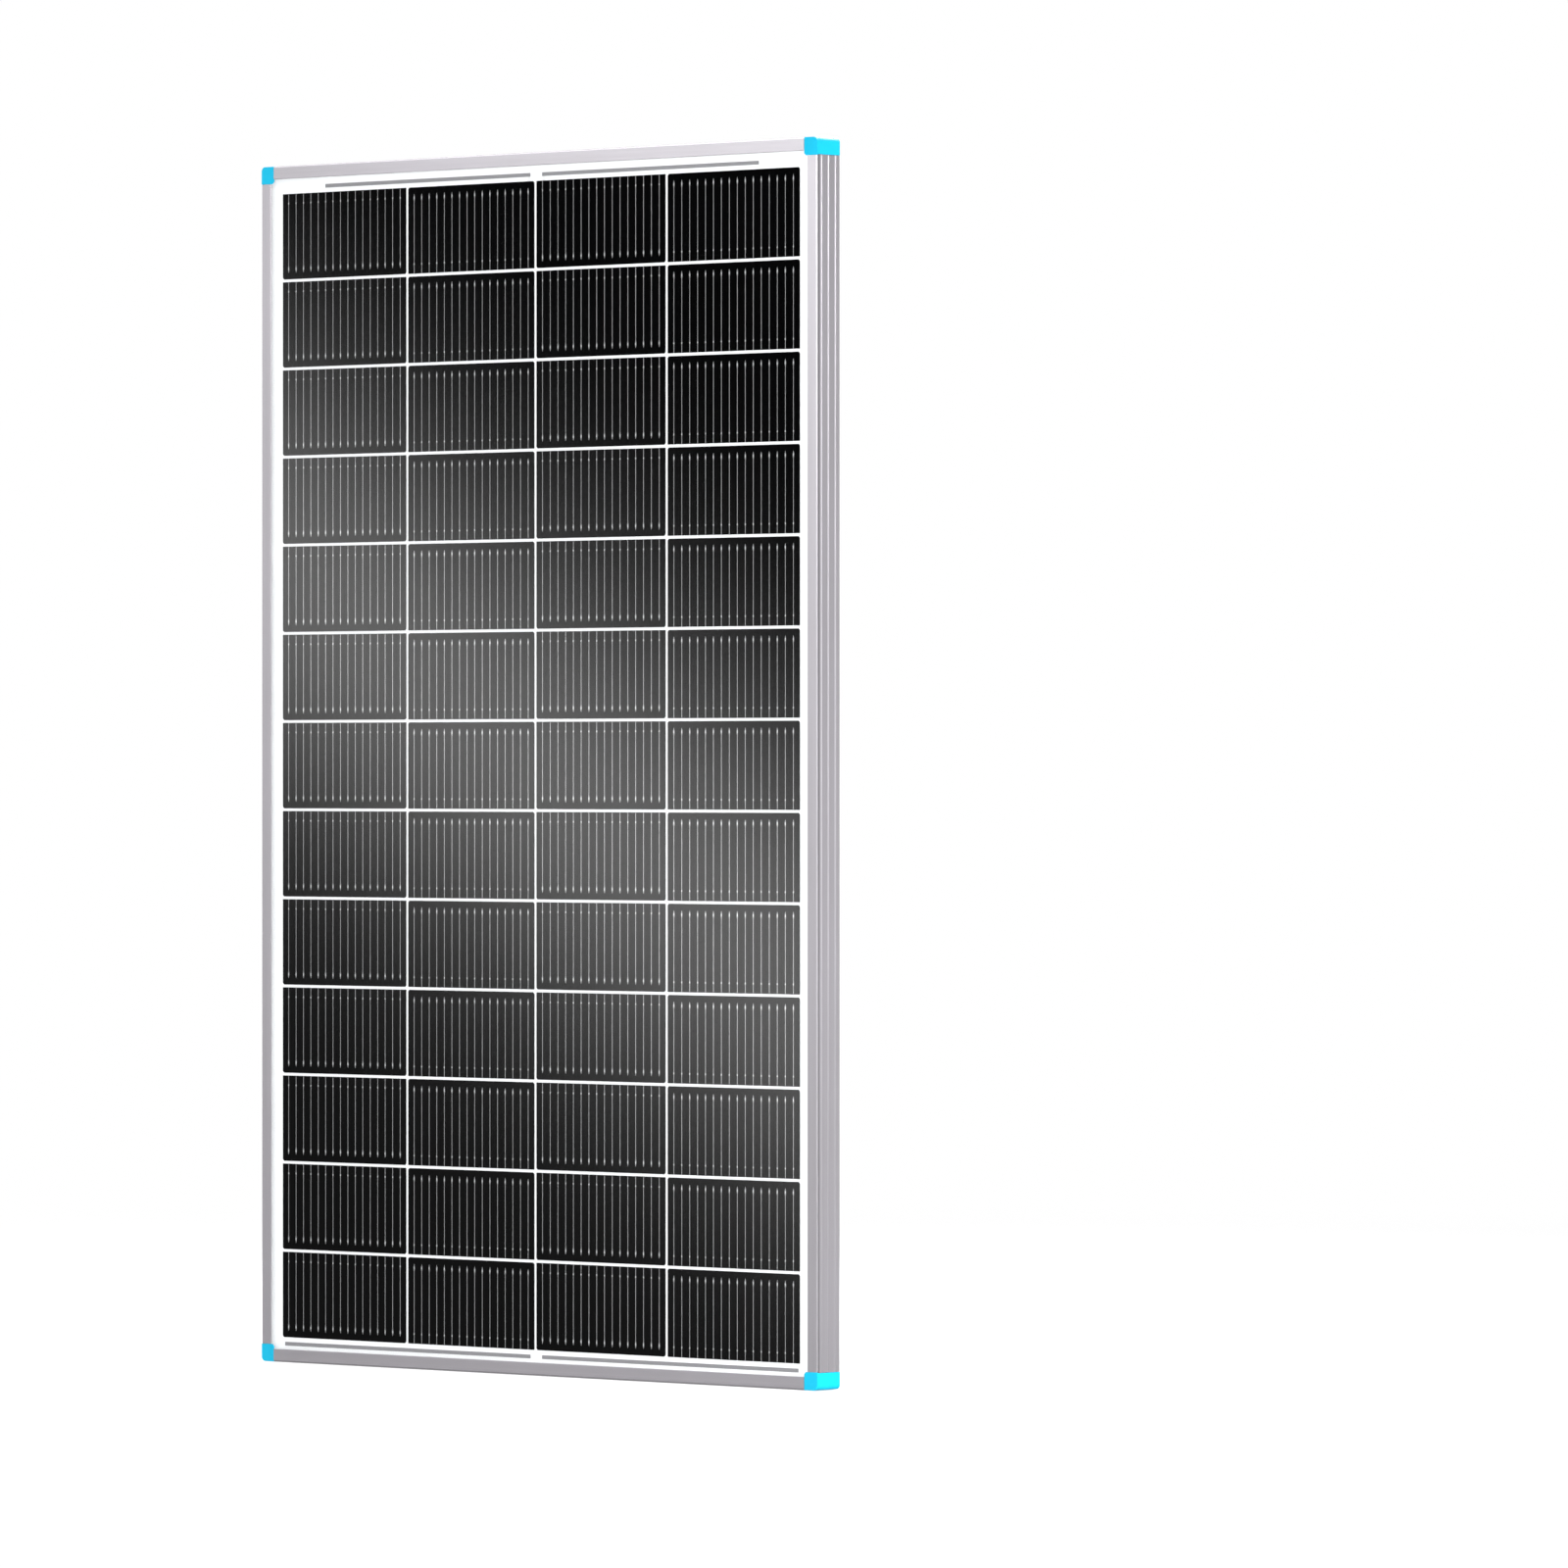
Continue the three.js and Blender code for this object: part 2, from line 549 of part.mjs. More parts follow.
for (const [side, name] of REAR_SIDES) {
  const x = side * LEAD_X;
  const [z0, z1] = STUB_Z;
  put('gland_nut_' + name, glandNut(x), 'black');
  put('gland_seal_' + name, turn(GLAND_SEAL, 16, x, GLAND_Y), 'rubber');
  put('cable_stub_' + name, new THREE.CylinderGeometry(CABLE_RADIUS, CABLE_RADIUS, z1 - z0, 12)
    .rotateX(Math.PI / 2).translate(x, GLAND_Y, (z0 + z1) / 2), 'rubber');
}

// ---------------------------------------------------------------- cable leads
const CONNECTOR_Y = 3.8;
const CONNECTOR_TOP = 680;
const LEAD_TOP = 1070;
const LEAD_END = CONNECTOR_TOP - 30;
const LOOP = { z: 888, radius: 110, rise: 7.8 }; // rise: shift in y over the loop

// Straight down, one full turn outwards, then straight down into the connector.
class LeadPath extends THREE.Curve {
  constructor(side) {
    super();
    this.side = side;
    this.drop = LEAD_TOP - LOOP.z;
    this.loop = 2 * Math.PI * LOOP.radius;
    this.tail = LOOP.z - LEAD_END;
  }

  getPoint(t, target = new THREE.Vector3()) {
    const { side, drop, loop, tail } = this;
    const { smoothstep, lerp } = THREE.MathUtils;
    const distance = t * (drop + loop + tail);
    if (distance <= drop) return target.set(side * LEAD_X, GLAND_Y, LEAD_TOP - distance);
    if (distance <= drop + loop) {
      const angle = (distance - drop) / LOOP.radius;
      return target.set(
        side * (LEAD_X + LOOP.radius * (1 - Math.cos(angle))),
        GLAND_Y + LOOP.rise * smoothstep(angle, 0.15, 5.6),
        LOOP.z - LOOP.radius * Math.sin(angle));
    }
    const z = LOOP.z - (distance - drop - loop);
    const y = lerp(CONNECTOR_Y, GLAND_Y + LOOP.rise, smoothstep(z, 705, 845));
    return target.set(side * LEAD_X, y, z);
  }
}

// radius, height about the lead top, both as fractions of the cable radius
const LEAD_DOME = [[0, -1], [0.7, -0.71], [1, 0], [0.866, 0.5], [0.5, 0.866], [0, 1]];

function cableLead(side) {
  const section = new THREE.Shape(toVectors(circle(0, 0, CABLE_RADIUS, 8)));
  const tube = new THREE.ExtrudeGeometry(section,
    { steps: 62, bevelEnabled: false, extrudePath: new LeadPath(side) });
  const dome = LEAD_DOME.map(([radius, height]) =>
    [radius * CABLE_RADIUS, LEAD_TOP + height * CABLE_RADIUS]);
  return join(solid(tube), turned(dome, 12, side * LEAD_X, GLAND_Y));
}
for (const [side, name] of REAR_SIDES) put('cable_lead_' + name, cableLead(side), 'rubber');

// ---------------------------------------------------------------- plug connectors
// Turned outlines: radius, z.
const NUT_FOOT = CONNECTOR_TOP - 34.6;
const CONTACT_TOP = CONNECTOR_TOP - 34.5;
const turnedAt = (x, outline, segments) => turned(outline, segments, x, CONNECTOR_Y);

function connectorNut(x) {
  const top = CONNECTOR_TOP;
  const shoulder = [[0, top - 7.2], [12.5, top - 7.2], [10.5, top - 2], [7.5, top], [0, top]];
  const bore = [[0, top + 5], [4.5, top + 5], [4.5, top - 6], [9.6, top - 10],
    [9.6, top - 40], [0, top - 40]];
  const body = join(
    prismZ(ribbed(x, CONNECTOR_Y, 13.5, 12.6, 12), NUT_FOOT, top - 7),
    turnedAt(x, shoulder, 24));
  return cut(body, turnedAt(x, bore, 20));
}

const connectorSeal = (x) => turn([[4.1, CONNECTOR_TOP - 16.6], [8.8, CONNECTOR_TOP - 16.6],
  [8.8, CONNECTOR_TOP - 11], [4.1, CONNECTOR_TOP - 11]], 16, x, CONNECTOR_Y);

// Raised rings round a body, from z upwards.
const gripRings = (count, z, pitch) => Array.from({ length: count }, (_, i) => z + i * pitch)
  .flatMap((foot) => [[11.3, foot], [13.3, foot + 0.5], [13.3, foot + 1.7], [11.3, foot + 2.2]]);

// Upper end of both bodies: the spigot inside the nut, and the cable end of the bore.
const SPIGOT = [[11.3, CONNECTOR_TOP - 34.9], [8.9, CONNECTOR_TOP - 34.9],
  [8.9, CONNECTOR_TOP - 17], [0, CONNECTOR_TOP - 17]];
const CABLE_BORE = [[3.3, CONNECTOR_TOP - 34], [4.2, CONNECTOR_TOP - 33],
  [4.2, CONNECTOR_TOP - 10], [0, CONNECTOR_TOP - 10]];

// Pair of pockets on the -X and +X sides of a body.
const sidePockets = (x, inner, outer, z0, z1) => [[-outer, -inner], [inner, outer]].map(
  ([x0, x1]) => prismY(rect(x + x0, x + x1, z0, z1), CONNECTOR_Y - 4.6, CONNECTOR_Y + 4.6));

const SOCKET_END = CONNECTOR_TOP - 91.5;

function socketBody(x) {
  const end = SOCKET_END;
  const outline = [[0, end], [13.2, end], [13.4, end + 0.6], [13.4, end + 10],
    [12.6, end + 10.8], [11.3, end + 10.8], ...gripRings(7, end + 21.9, 4.6), ...SPIGOT];
  const bore = [[0, end - 5], [7.2, end - 5], [7.2, end + 24], [3.3, end + 24], ...CABLE_BORE];
  return cut(turnedAt(x, outline, 16), turnedAt(x, bore, 20),
    ...sidePockets(x, 8.2, 12.5, end - 1, end + 7));
}

const contactSocket = (x) => turn([[1.7, SOCKET_END + 10], [2.9, SOCKET_END + 10],
  [2.9, CONTACT_TOP], [0, CONTACT_TOP], [0, SOCKET_END + 26], [1.7, SOCKET_END + 26]],
12, x, CONNECTOR_Y);

const PLUG_END = CONNECTOR_TOP - 85.7;
const PLUG_SHOULDER = CONNECTOR_TOP - 50.7;

function plugBody(x) {
  const end = PLUG_END;
  const shoulder = PLUG_SHOULDER;
  const outline = [[0, end], [5.2, end], [5.85, end + 0.8], [5.85, shoulder - 1],
    [11.0, shoulder], [11.0, shoulder + 2], ...gripRings(3, shoulder + 2, 4.7), ...SPIGOT];
  const bore = [[0, end - 5], [3.3, end - 5], ...CABLE_BORE];
  // the pockets take the roots of the spring tines
  return cut(turnedAt(x, outline, 16), turnedAt(x, bore, 16),
    ...sidePockets(x, 7.8, 12.2, shoulder - 3, shoulder + 3.2));
}

const contactPin = (x) => turn([[0, PLUG_END + 8], [1.0, PLUG_END + 8.6],
  [1.5, PLUG_END + 10], [1.5, CONNECTOR_TOP - 60], [2.9, CONNECTOR_TOP - 58],
  [2.9, CONTACT_TOP], [0, CONTACT_TOP]], 12, x, CONNECTOR_Y);

// x from the connector axis, z from the plug shoulder
const LOCK_TINE = [[8.6, 2.7], [11.0, 2.7], [11.0, -10.5], [13.2, -12.2], [13.2, -13.4],
  [11.2, -17.5], [9.0, -17.5], [8.6, -12]];
const lockTine = (x, side) => extrudeY(
  LOCK_TINE.map(([out, up]) => [x + side * out, PLUG_SHOULDER + up]),
  CONNECTOR_Y - 4.0, CONNECTOR_Y + 4.0);

for (const [side, name] of REAR_SIDES) {
  const x = side * LEAD_X;
  const isSocket = name === 'left';
  put('connector_nut_' + name, connectorNut(x), 'black');
  put('connector_seal_' + name, connectorSeal(x), 'rubber');
  put('connector_body_' + name, isSocket ? socketBody(x) : plugBody(x), 'black');
  if (isSocket) {
    put('contact_socket', contactSocket(x), 'copper');
  } else {
    put('contact_pin', contactPin(x), 'copper');
    put('lock_tine_a', lockTine(x, 1), 'black');
    put('lock_tine_b', lockTine(x, -1), 'black');
  }
}

export default root;
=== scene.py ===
"""A framed solar panel standing upright, with its junction box, cables and plugs on the back.

X runs along the panel's width, Z up from its lower edge. The glass faces -Y and the junction box
+Y, so pieces named "left" behind the panel lie at +X. Lengths are in mm until they become
vertices; the studio is in metres.
"""
import json
import math

import bmesh
import bpy
import numpy as np
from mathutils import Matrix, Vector

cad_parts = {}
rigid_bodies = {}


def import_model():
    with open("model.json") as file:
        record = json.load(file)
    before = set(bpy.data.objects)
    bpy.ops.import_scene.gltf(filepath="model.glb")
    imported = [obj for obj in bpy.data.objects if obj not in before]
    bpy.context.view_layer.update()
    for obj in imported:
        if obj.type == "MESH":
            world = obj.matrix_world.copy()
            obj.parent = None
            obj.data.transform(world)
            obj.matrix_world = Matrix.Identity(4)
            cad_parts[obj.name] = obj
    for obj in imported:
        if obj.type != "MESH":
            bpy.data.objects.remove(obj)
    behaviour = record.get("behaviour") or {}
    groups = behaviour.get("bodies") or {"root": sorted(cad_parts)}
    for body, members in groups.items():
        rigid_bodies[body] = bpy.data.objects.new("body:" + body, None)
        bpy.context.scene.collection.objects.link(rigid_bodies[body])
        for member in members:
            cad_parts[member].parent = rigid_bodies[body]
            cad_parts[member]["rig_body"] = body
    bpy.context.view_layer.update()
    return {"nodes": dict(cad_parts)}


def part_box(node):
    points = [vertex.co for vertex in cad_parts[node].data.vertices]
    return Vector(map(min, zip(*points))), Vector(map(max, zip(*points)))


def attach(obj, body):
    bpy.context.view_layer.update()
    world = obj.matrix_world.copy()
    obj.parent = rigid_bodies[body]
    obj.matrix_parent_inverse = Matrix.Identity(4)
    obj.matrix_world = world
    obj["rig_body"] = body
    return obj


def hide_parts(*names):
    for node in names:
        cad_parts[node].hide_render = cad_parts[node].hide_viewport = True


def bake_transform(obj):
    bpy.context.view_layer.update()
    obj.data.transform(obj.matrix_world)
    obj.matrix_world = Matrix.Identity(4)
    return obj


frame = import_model()
scene = bpy.context.scene
nodes = frame["nodes"]
MM = 0.001

# frame and cell layout
FRAME_HALF_WIDTH, FRAME_HEIGHT = 396.0, 1275.0
CELL_W, CELL_H, CELL_GAP = 182.0, 91.0, 3.0
STRINGS, CELLS_PER_STRING = 4, 13
PITCH_X, PITCH_Z = CELL_W + CELL_GAP, CELL_H + CELL_GAP
CELLS_Z0 = 26.3                             # lower edge of the lowest cells
GRID_X = STRINGS * PITCH_X / 2              # the grid runs from -GRID_X, half a gap outside the cells
GRID_Z0 = CELLS_Z0 - CELL_GAP / 2
CORNERS = ("top_left", "top_right", "bottom_left", "bottom_right")

# cables, glands and plugs
SIDES = ((1, "left", "l"), (-1, "right", "r"))      # sign of X, name, suffix of the body
CABLE_X, GLAND_Y, PLUG_Y = 31.5, -1.0, 3.8
PLUG_TOP = 680.0


# ------------------------------------------------------------------ node helpers
class Material:
    """A small builder for node materials. Coordinates are the object's own, in millimetres."""

    def __init__(self, name):
        self.material = bpy.data.materials.new(name)
        self.material.use_nodes = True
        self.tree = self.material.node_tree
        self.tree.nodes.clear()
        self.output = self.node("OutputMaterial")
        coords = self.node("TexCoord")
        self.mm = self.vector("SCALE", coords.outputs["Object"])
        self.mm.node.inputs["Scale"].default_value = 1000.0

    def node(self, kind):
        return self.tree.nodes.new("ShaderNode" + kind)

    def link(self, source, socket):
        self.tree.links.new(source, socket)

    def put(self, socket, value):
        if isinstance(value, bpy.types.NodeSocket):
            self.link(value, socket)
        elif isinstance(value, tuple) and len(value) == 3 and socket.type == "RGBA":
            socket.default_value = (*value, 1)
        else:
            socket.default_value = value

    def vector(self, operation, *values):
        node = self.node("VectorMath")
        node.operation = operation
        for i, value in enumerate(values):
            self.put(node.inputs[i], value)
        return node.outputs[0]

    def math(self, operation, a, b=0.0, clamp=False):
        node = self.node("Math")
        node.operation = operation
        node.use_clamp = clamp
        for i, value in enumerate((a, b, 0.0)):
            self.put(node.inputs[i], value)
        return node.outputs[0]

    def add(self, a, b):
        return self.math("ADD", a, b)

    def sub(self, a, b):
        return self.math("SUBTRACT", a, b)

    def mul(self, a, b):
        return self.math("MULTIPLY", a, b)

    def div(self, a, b):
        return self.math("DIVIDE", a, b)

    def abs(self, a):
        return self.math("ABSOLUTE", a)

    def off_centre(self, value):
        """Distance from the middle of the unit step that value lies in: 0 to 0.5."""
        return self.abs(self.sub(self.math("FRACT", value), 0.5))

    def xyz(self):
        node = self.node("SeparateXYZ")
        self.link(self.mm, node.inputs[0])
        return node.outputs

    def noise(self, scale, stretch=(1, 1, 1), detail=3.0, rough=0.55, offset=(0, 0, 0)):
        place = self.vector("ADD", self.vector("MULTIPLY", self.mm, stretch), offset)
        node = self.node("TexNoise")
        self.link(place, node.inputs["Vector"])
        node.inputs["Scale"].default_value = scale
        node.inputs["Detail"].default_value = detail
        node.inputs["Roughness"].default_value = rough
        return node.outputs["Fac"]

    def remap(self, value, span=(0.3, 0.7), to=(0.0, 1.0), smooth=False):
        """Carry span onto to. The default span is where most of a noise's values lie."""
        node = self.node("MapRange")
        if smooth:
            node.interpolation_type = "SMOOTHSTEP"
        self.put(node.inputs["Value"], value)
        for prefix, (low, high) in (("From", span), ("To", to)):
            node.inputs[prefix + " Min"].default_value = low
            node.inputs[prefix + " Max"].default_value = high
        return node.outputs[0]

    def mix(self, factor, a, b):
        node = self.node("Mix")
        node.data_type = "RGBA"
        for i, value in ((0, factor), (6, a), (7, b)):
            self.put(node.inputs[i], value)
        return node.outputs[2]

    def bump(self, height, strength, depth):
        """depth is in mm."""
        node = self.node("Bump")
        node.inputs["Strength"].default_value = strength
        node.inputs["Distance"].default_value = depth * MM
        self.link(height, node.inputs["Height"])
        return node.outputs[0]

    def surface(self, **inputs):
        node = self.node("BsdfPrincipled")
        for key, value in inputs.items():
            self.put(node.inputs[key.replace("_", " ")], value)
        return self.finish(node)

    def finish(self, shader):
        self.link(shader.outputs[0], self.output.inputs[0])
        return self.material

    def mix_shader(self, factor, a, b):
        node = self.node("MixShader")
        self.put(node.inputs[0], factor)
        self.link(a.outputs[0], node.inputs[1])
        self.link(b.outputs[0], node.inputs[2])
        return node


def scaled(color, factor):
    return tuple(c * factor for c in color)


# ------------------------------------------------------------------ materials
def painted_bar_light(m):
    """Brightness factor for the bars, painted light on their outer faces: painted highlights on the
    grooves and the front edge, stronger towards the top where more light falls, and a painted shade
    strip just behind that edge."""
    x, y, z = m.xyz()
    inward = m.math("MINIMUM", m.sub(FRAME_HALF_WIDTH, m.abs(x)),
                    m.math("MINIMUM", m.sub(FRAME_HEIGHT, z), z))
    outer = m.remap(inward, span=(0.95, 0.7))
    # painted falloff: the highlights fade towards the bottom, as the light from above does
    lit = m.remap(z, span=(60.0, 1150.0), to=(0.12, 1.0))
    # painted highlights on the three groove walls
    painted_groove_highlight = 0.0
    for centre_y in (-11.2, -0.7, 10.1):
        distance = m.abs(m.sub(y, centre_y))
        painted_groove_highlight = m.math("MAXIMUM", painted_groove_highlight, m.remap(distance, span=(1.35, 1.1)))
    # painted highlight along the rounded front edge
    edge = m.remap(y, span=(-16.9, -17.2))
    # painted shade strip just behind the front edge
    shade = m.mul(m.remap(y, span=(-16.6, -16.2)), m.remap(y, span=(-14.6, -13.6), to=(1.0, 0.0)))
    groove_highlight_gain, edge_highlight_gain, shade_loss = 0.78, 0.85, 0.45
    gain = m.add(m.mul(painted_groove_highlight, m.mul(lit, groove_highlight_gain)), m.mul(edge, m.mul(lit, edge_highlight_gain)))
    gain = m.sub(gain, m.mul(shade, shade_loss))
    gain = m.add(m.mul(outer, gain), 1.0)
    node = m.node("CombineXYZ")
    for i in range(3):
        m.link(gain, node.inputs[i])
    return node.outputs[0]


def aluminium(name, stretch=(1, 1, 1), base=(0.40, 0.385, 0.408), painted_light=False):
    """Anodised metal: fine die streaks drawn out by stretch, faint cloudy patches; for the bars also
    painted highlights on grooves and front edge and a painted shade strip.
    """
    m = Material(name)
    fine = m.noise(scale=1.6, stretch=stretch, detail=4.0, rough=0.6)
    broad = m.noise(scale=0.22, stretch=stretch, detail=2.0, rough=0.5, offset=(31, 7, 3))
    cloud = m.noise(scale=0.006, detail=2.0, rough=0.5)
    grain = m.noise(scale=3.5, detail=2.0, rough=0.6, offset=(5, 9, 1))
    tone = m.add(m.remap(fine, to=(0.0, 0.5)), m.remap(broad, to=(0.0, 0.5)))
    color = m.mix(tone, scaled(base, 0.88), base)
    cloudy = (base[0] * 1.03, base[1] * 1.03, base[2] * 1.045)
    color = m.mix(m.remap(cloud, span=(0.35, 0.65), to=(0.0, 0.35)), color, cloudy)
    # painted highlights and painted shade strip of the bars
    if painted_light:
        color = m.vector("MULTIPLY", color, painted_bar_light(m))
    rough = m.add(m.remap(fine, to=(0.40, 0.50)), m.remap(grain, to=(0.0, 0.05)))
    fine_share, grain_share = 0.7, 0.3
    height = m.add(m.mul(fine, fine_share), m.mul(grain, grain_share))
    return m.surface(Base_Color=color, Metallic=0.5, Roughness=rough,
                     Normal=m.bump(height, strength=0.35, depth=0.02))


def plastic(name, base, rough, grain=1.2, bump=0.25, vary=0.08, coat=0.0, spec=0.5, depth=0.03):
    """Moulded plastic: spark-eroded grain, soft tone changes."""
    m = Material(name)
    fine = m.noise(scale=grain, rough=0.65)
    broad = m.noise(scale=0.03, detail=2.0, rough=0.5, offset=(3, 8, 2))
    middle = m.noise(scale=0.25, rough=0.5, offset=(9, 1, 4))
    light = tuple(min(1, c) for c in scaled(base, 1 + vary))
    color = m.mix(m.remap(broad), scaled(base, 1 - vary), light)
    roughness = m.add(m.remap(middle, to=(rough - 0.05, rough + 0.05)),
                      m.remap(fine, to=(-0.03, 0.03)))
    return m.surface(Base_Color=color, Roughness=roughness, Coat_Weight=coat, Coat_Roughness=0.25,
                     Specular_IOR_Level=spec, Normal=m.bump(fine, strength=bump, depth=depth))


def jacket():
    """Cable jacket: satin skin with faint rings from the extruder."""
    m = Material("cable_jacket")
    grain = m.noise(scale=0.9, rough=0.6)
    ring = m.noise(scale=0.5, stretch=(0.2, 0.2, 1), detail=2.0, rough=0.5)
    color = m.mix(m.remap(ring), (0.0045, 0.0045, 0.0055), (0.0075, 0.0075, 0.009))
    return m.surface(Base_Color=color, Roughness=m.remap(grain, to=(0.38, 0.50)),
                     Specular_IOR_Level=0.35, Normal=m.bump(grain, strength=0.2, depth=0.03))


def cell_silicon():
    """Silicon under glass: near black and shiny, its tone drifting from cell to cell, with
    printed fingers at a close pitch."""
    finger_pitch, finger_strength = 1.5, 0.28
    m = Material("silicon_cell")
    x, _, z = m.xyz()
    random = m.node("TexWhiteNoise")
    random.noise_dimensions = "2D"
    column = m.math("FLOOR", m.div(m.add(x, GRID_X - CELL_GAP / 2), PITCH_X))
    row = m.math("FLOOR", m.div(m.sub(z, GRID_Z0), PITCH_Z))
    index = m.node("CombineXYZ")
    m.link(column, index.inputs[0])
    m.link(row, index.inputs[1])
    m.link(index.outputs[0], random.inputs["Vector"])
    tone = m.noise(scale=0.02, rough=0.5)
    base = m.mix(random.outputs["Value"], (0.00030, 0.00029, 0.00034), (0.00060, 0.00058, 0.00070))
    base = m.mix(m.remap(tone, to=(0, 0.5)), base, (0.0007, 0.0007, 0.0008))
    finger = m.remap(m.off_centre(m.div(z, finger_pitch)), span=(0.06, 0.0))
    color = m.mix(m.mul(finger, finger_strength), base, (0.02, 0.02, 0.0205))
    sheen = m.noise(scale=0.5, detail=2.0, rough=0.5)
    return m.surface(Base_Color=color, Roughness=m.remap(sheen, to=(0.05, 0.09)),
                     Specular_IOR_Level=0.5, IOR=1.45)


def wire(name, base):
    """Tinned wire bonded under the glass: grey body with a brighter shine than the cells."""
    m = Material(name)
    ripple = m.noise(scale=0.8, stretch=(1, 1, 0.15), rough=0.6)
    return m.surface(Base_Color=m.mix(m.remap(ripple), scaled(base, 0.85), base), Metallic=0.0,
                     Roughness=m.remap(ripple, to=(0.06, 0.1)), Specular_IOR_Level=0.5, IOR=2.2)


def lead_out():
    """Tinned strip with a white insulating sleeve over the part above the cells."""
    sleeve_span = (1243.5, 1244.5)      # height over which tin gives way to sleeve
    tin_metallic = 0.55
    m = Material("sleeved_lead_out")
    z = m.xyz()[2]
    ripple = m.noise(scale=0.8, stretch=(1, 1, 0.15), rough=0.6)
    bare = m.remap(z, span=sleeve_span, to=(1, 0))
    tin = m.mix(m.remap(ripple), (0.42, 0.42, 0.43), (0.50, 0.50, 0.51))
    sleeve = m.mix(m.remap(ripple), (0.77, 0.77, 0.77), (0.80, 0.80, 0.80))
    return m.surface(Base_Color=m.mix(bare, sleeve, tin), Metallic=m.mul(bare, tin_metallic),
                     Roughness=m.remap(ripple, to=(0.4, 0.5)),
                     Normal=m.bump(ripple, strength=0.2, depth=0.02))


def solder(name, base, stretch, metal, rough):
    """Tinned metal: dull silver with soldering ripples."""
    m = Material(name)
    ripple = m.noise(scale=0.8, stretch=stretch, rough=0.6)
    return m.surface(Base_Color=m.mix(m.remap(ripple), scaled(base, 0.88), base), Metallic=metal,
                     Roughness=m.remap(ripple, to=(rough - 0.07, rough + 0.07)),
                     Normal=m.bump(ripple, strength=0.25, depth=0.03))


def sheet():
    """White polymer film with the faint print-through of the gaps between the cells."""
    seam_tint, grain_height, seam_height = 0.03, 0.25, -0.5
    m = Material("white_backsheet")
    grain = m.noise(scale=1.1, rough=0.6)
    wave = m.noise(scale=0.012, detail=2.0, rough=0.4)
    x, _, z = m.xyz()
    across = m.off_centre(m.div(m.add(x, GRID_X), PITCH_X))
    along = m.off_centre(m.div(m.sub(z, GRID_Z0), PITCH_Z))
    seam = m.math("MAXIMUM", m.remap(across, span=(0.488, 0.495), smooth=True),
                  m.remap(along, span=(0.478, 0.49), smooth=True))
    color = m.mix(m.remap(wave), (0.905, 0.905, 0.915), (0.93, 0.93, 0.935))
    color = m.mix(m.mul(seam, seam_tint), color, (0.8, 0.8, 0.82))
    height = m.add(m.mul(grain, grain_height), m.mul(seam, seam_height))
    return m.surface(Base_Color=color, Roughness=m.remap(grain, to=(0.42, 0.52)),
                     Specular_IOR_Level=0.4, Normal=m.bump(height, strength=0.35, depth=0.05))


def pane_glass():
    """Clear cover glass: straight-through view, with a mirror at grazing angles. The shine over
    the cells is in their own surface."""
    head_on = 0.07      # reflection taken off, so that the pane is clear when seen head on
    m = Material("cover_glass")
    sheen = m.noise(scale=0.5, detail=2.0, rough=0.5)
    fresnel = m.node("Fresnel")
    fresnel.inputs["IOR"].default_value = 1.45
    geometry = m.node("NewGeometry")
    factor = m.mul(m.math("SUBTRACT", fresnel.outputs[0], head_on, clamp=True),
                   m.sub(1.0, geometry.outputs["Backfacing"]))
    clear = m.node("BsdfTransparent")
    clear.inputs[0].default_value = (0.985, 0.99, 0.99, 1)
    mirror = m.node("BsdfGlossy")
    mirror.inputs["Color"].default_value = (1, 1, 1, 1)
    m.link(m.remap(sheen, to=(0.05, 0.09)), mirror.inputs["Roughness"])
    return m.finish(m.mix_shader(factor, clear, mirror))


# both bar materials carry painted highlights on grooves and front edge and a painted shade strip
ALU_Z = aluminium("anodised_bar_z", stretch=(1, 1, 0.012), painted_light=True)
ALU_X = aluminium("anodised_bar_x", stretch=(0.012, 1, 1), painted_light=True)
ALU_MILL = aluminium("mill_aluminium", base=(0.6, 0.6, 0.62))
BLUE = plastic("blue_plastic", base=(0.0, 0.37, 0.56), rough=0.46, grain=1.5, bump=0.18,
               vary=0.05, spec=0.3, depth=0.02)
BLACK = plastic("black_plastic", base=(0.0082, 0.0079, 0.0097), rough=0.50, grain=1.4, bump=0.5,
                vary=0.15, depth=0.04, spec=0.17)
RUBBER = plastic("black_rubber", base=(0.008, 0.008, 0.009), rough=0.75, grain=0.8, bump=0.2)
SEAL = plastic("sealant", base=(0.72, 0.72, 0.73), rough=0.7, grain=0.6, bump=0.3)
JACKET = jacket()
CELL = cell_silicon()
WIRE = wire("busbar_wire", base=(0.29, 0.29, 0.294))
PAD = wire("busbar_pad", base=(0.56, 0.56, 0.57))
RIBBON = solder("tinned_ribbon", base=(0.275, 0.270, 0.280), stretch=(0.15, 1, 1), metal=0.1,
                rough=0.5)
SLEEVE = lead_out()
SHEET = sheet()
GLASS = pane_glass()
STEEL = aluminium("steel_pin", base=(0.55, 0.55, 0.56))
COPPER = solder("tinned_copper", base=(0.50, 0.475, 0.45), stretch=(1, 1, 0.15), metal=0.8,
                rough=0.36)
DIODE = plastic("diode_epoxy", base=(0.02, 0.02, 0.02), rough=0.3, coat=0.3)


# ------------------------------------------------------------------ mesh helpers
def make(name, verts, faces, *materials, sharp=35, slots=None):
    """An object from vertices in metres; slots gives each face's material index."""
    mesh = bpy.data.meshes.new(name)
    mesh.from_pydata(verts, [], faces)
    for material in materials:
        mesh.materials.append(material)
    if slots is not None:
        mesh.polygons.foreach_set("material_index", slots)
    thing = bpy.data.objects.new(name, mesh)
    scene.collection.objects.link(thing)
    bm = bmesh.new()
    bm.from_mesh(mesh)
    bmesh.ops.recalc_face_normals(bm, faces=bm.faces)
    bm.to_mesh(mesh)
    bm.free()
    shade(thing, sharp)
    return thing


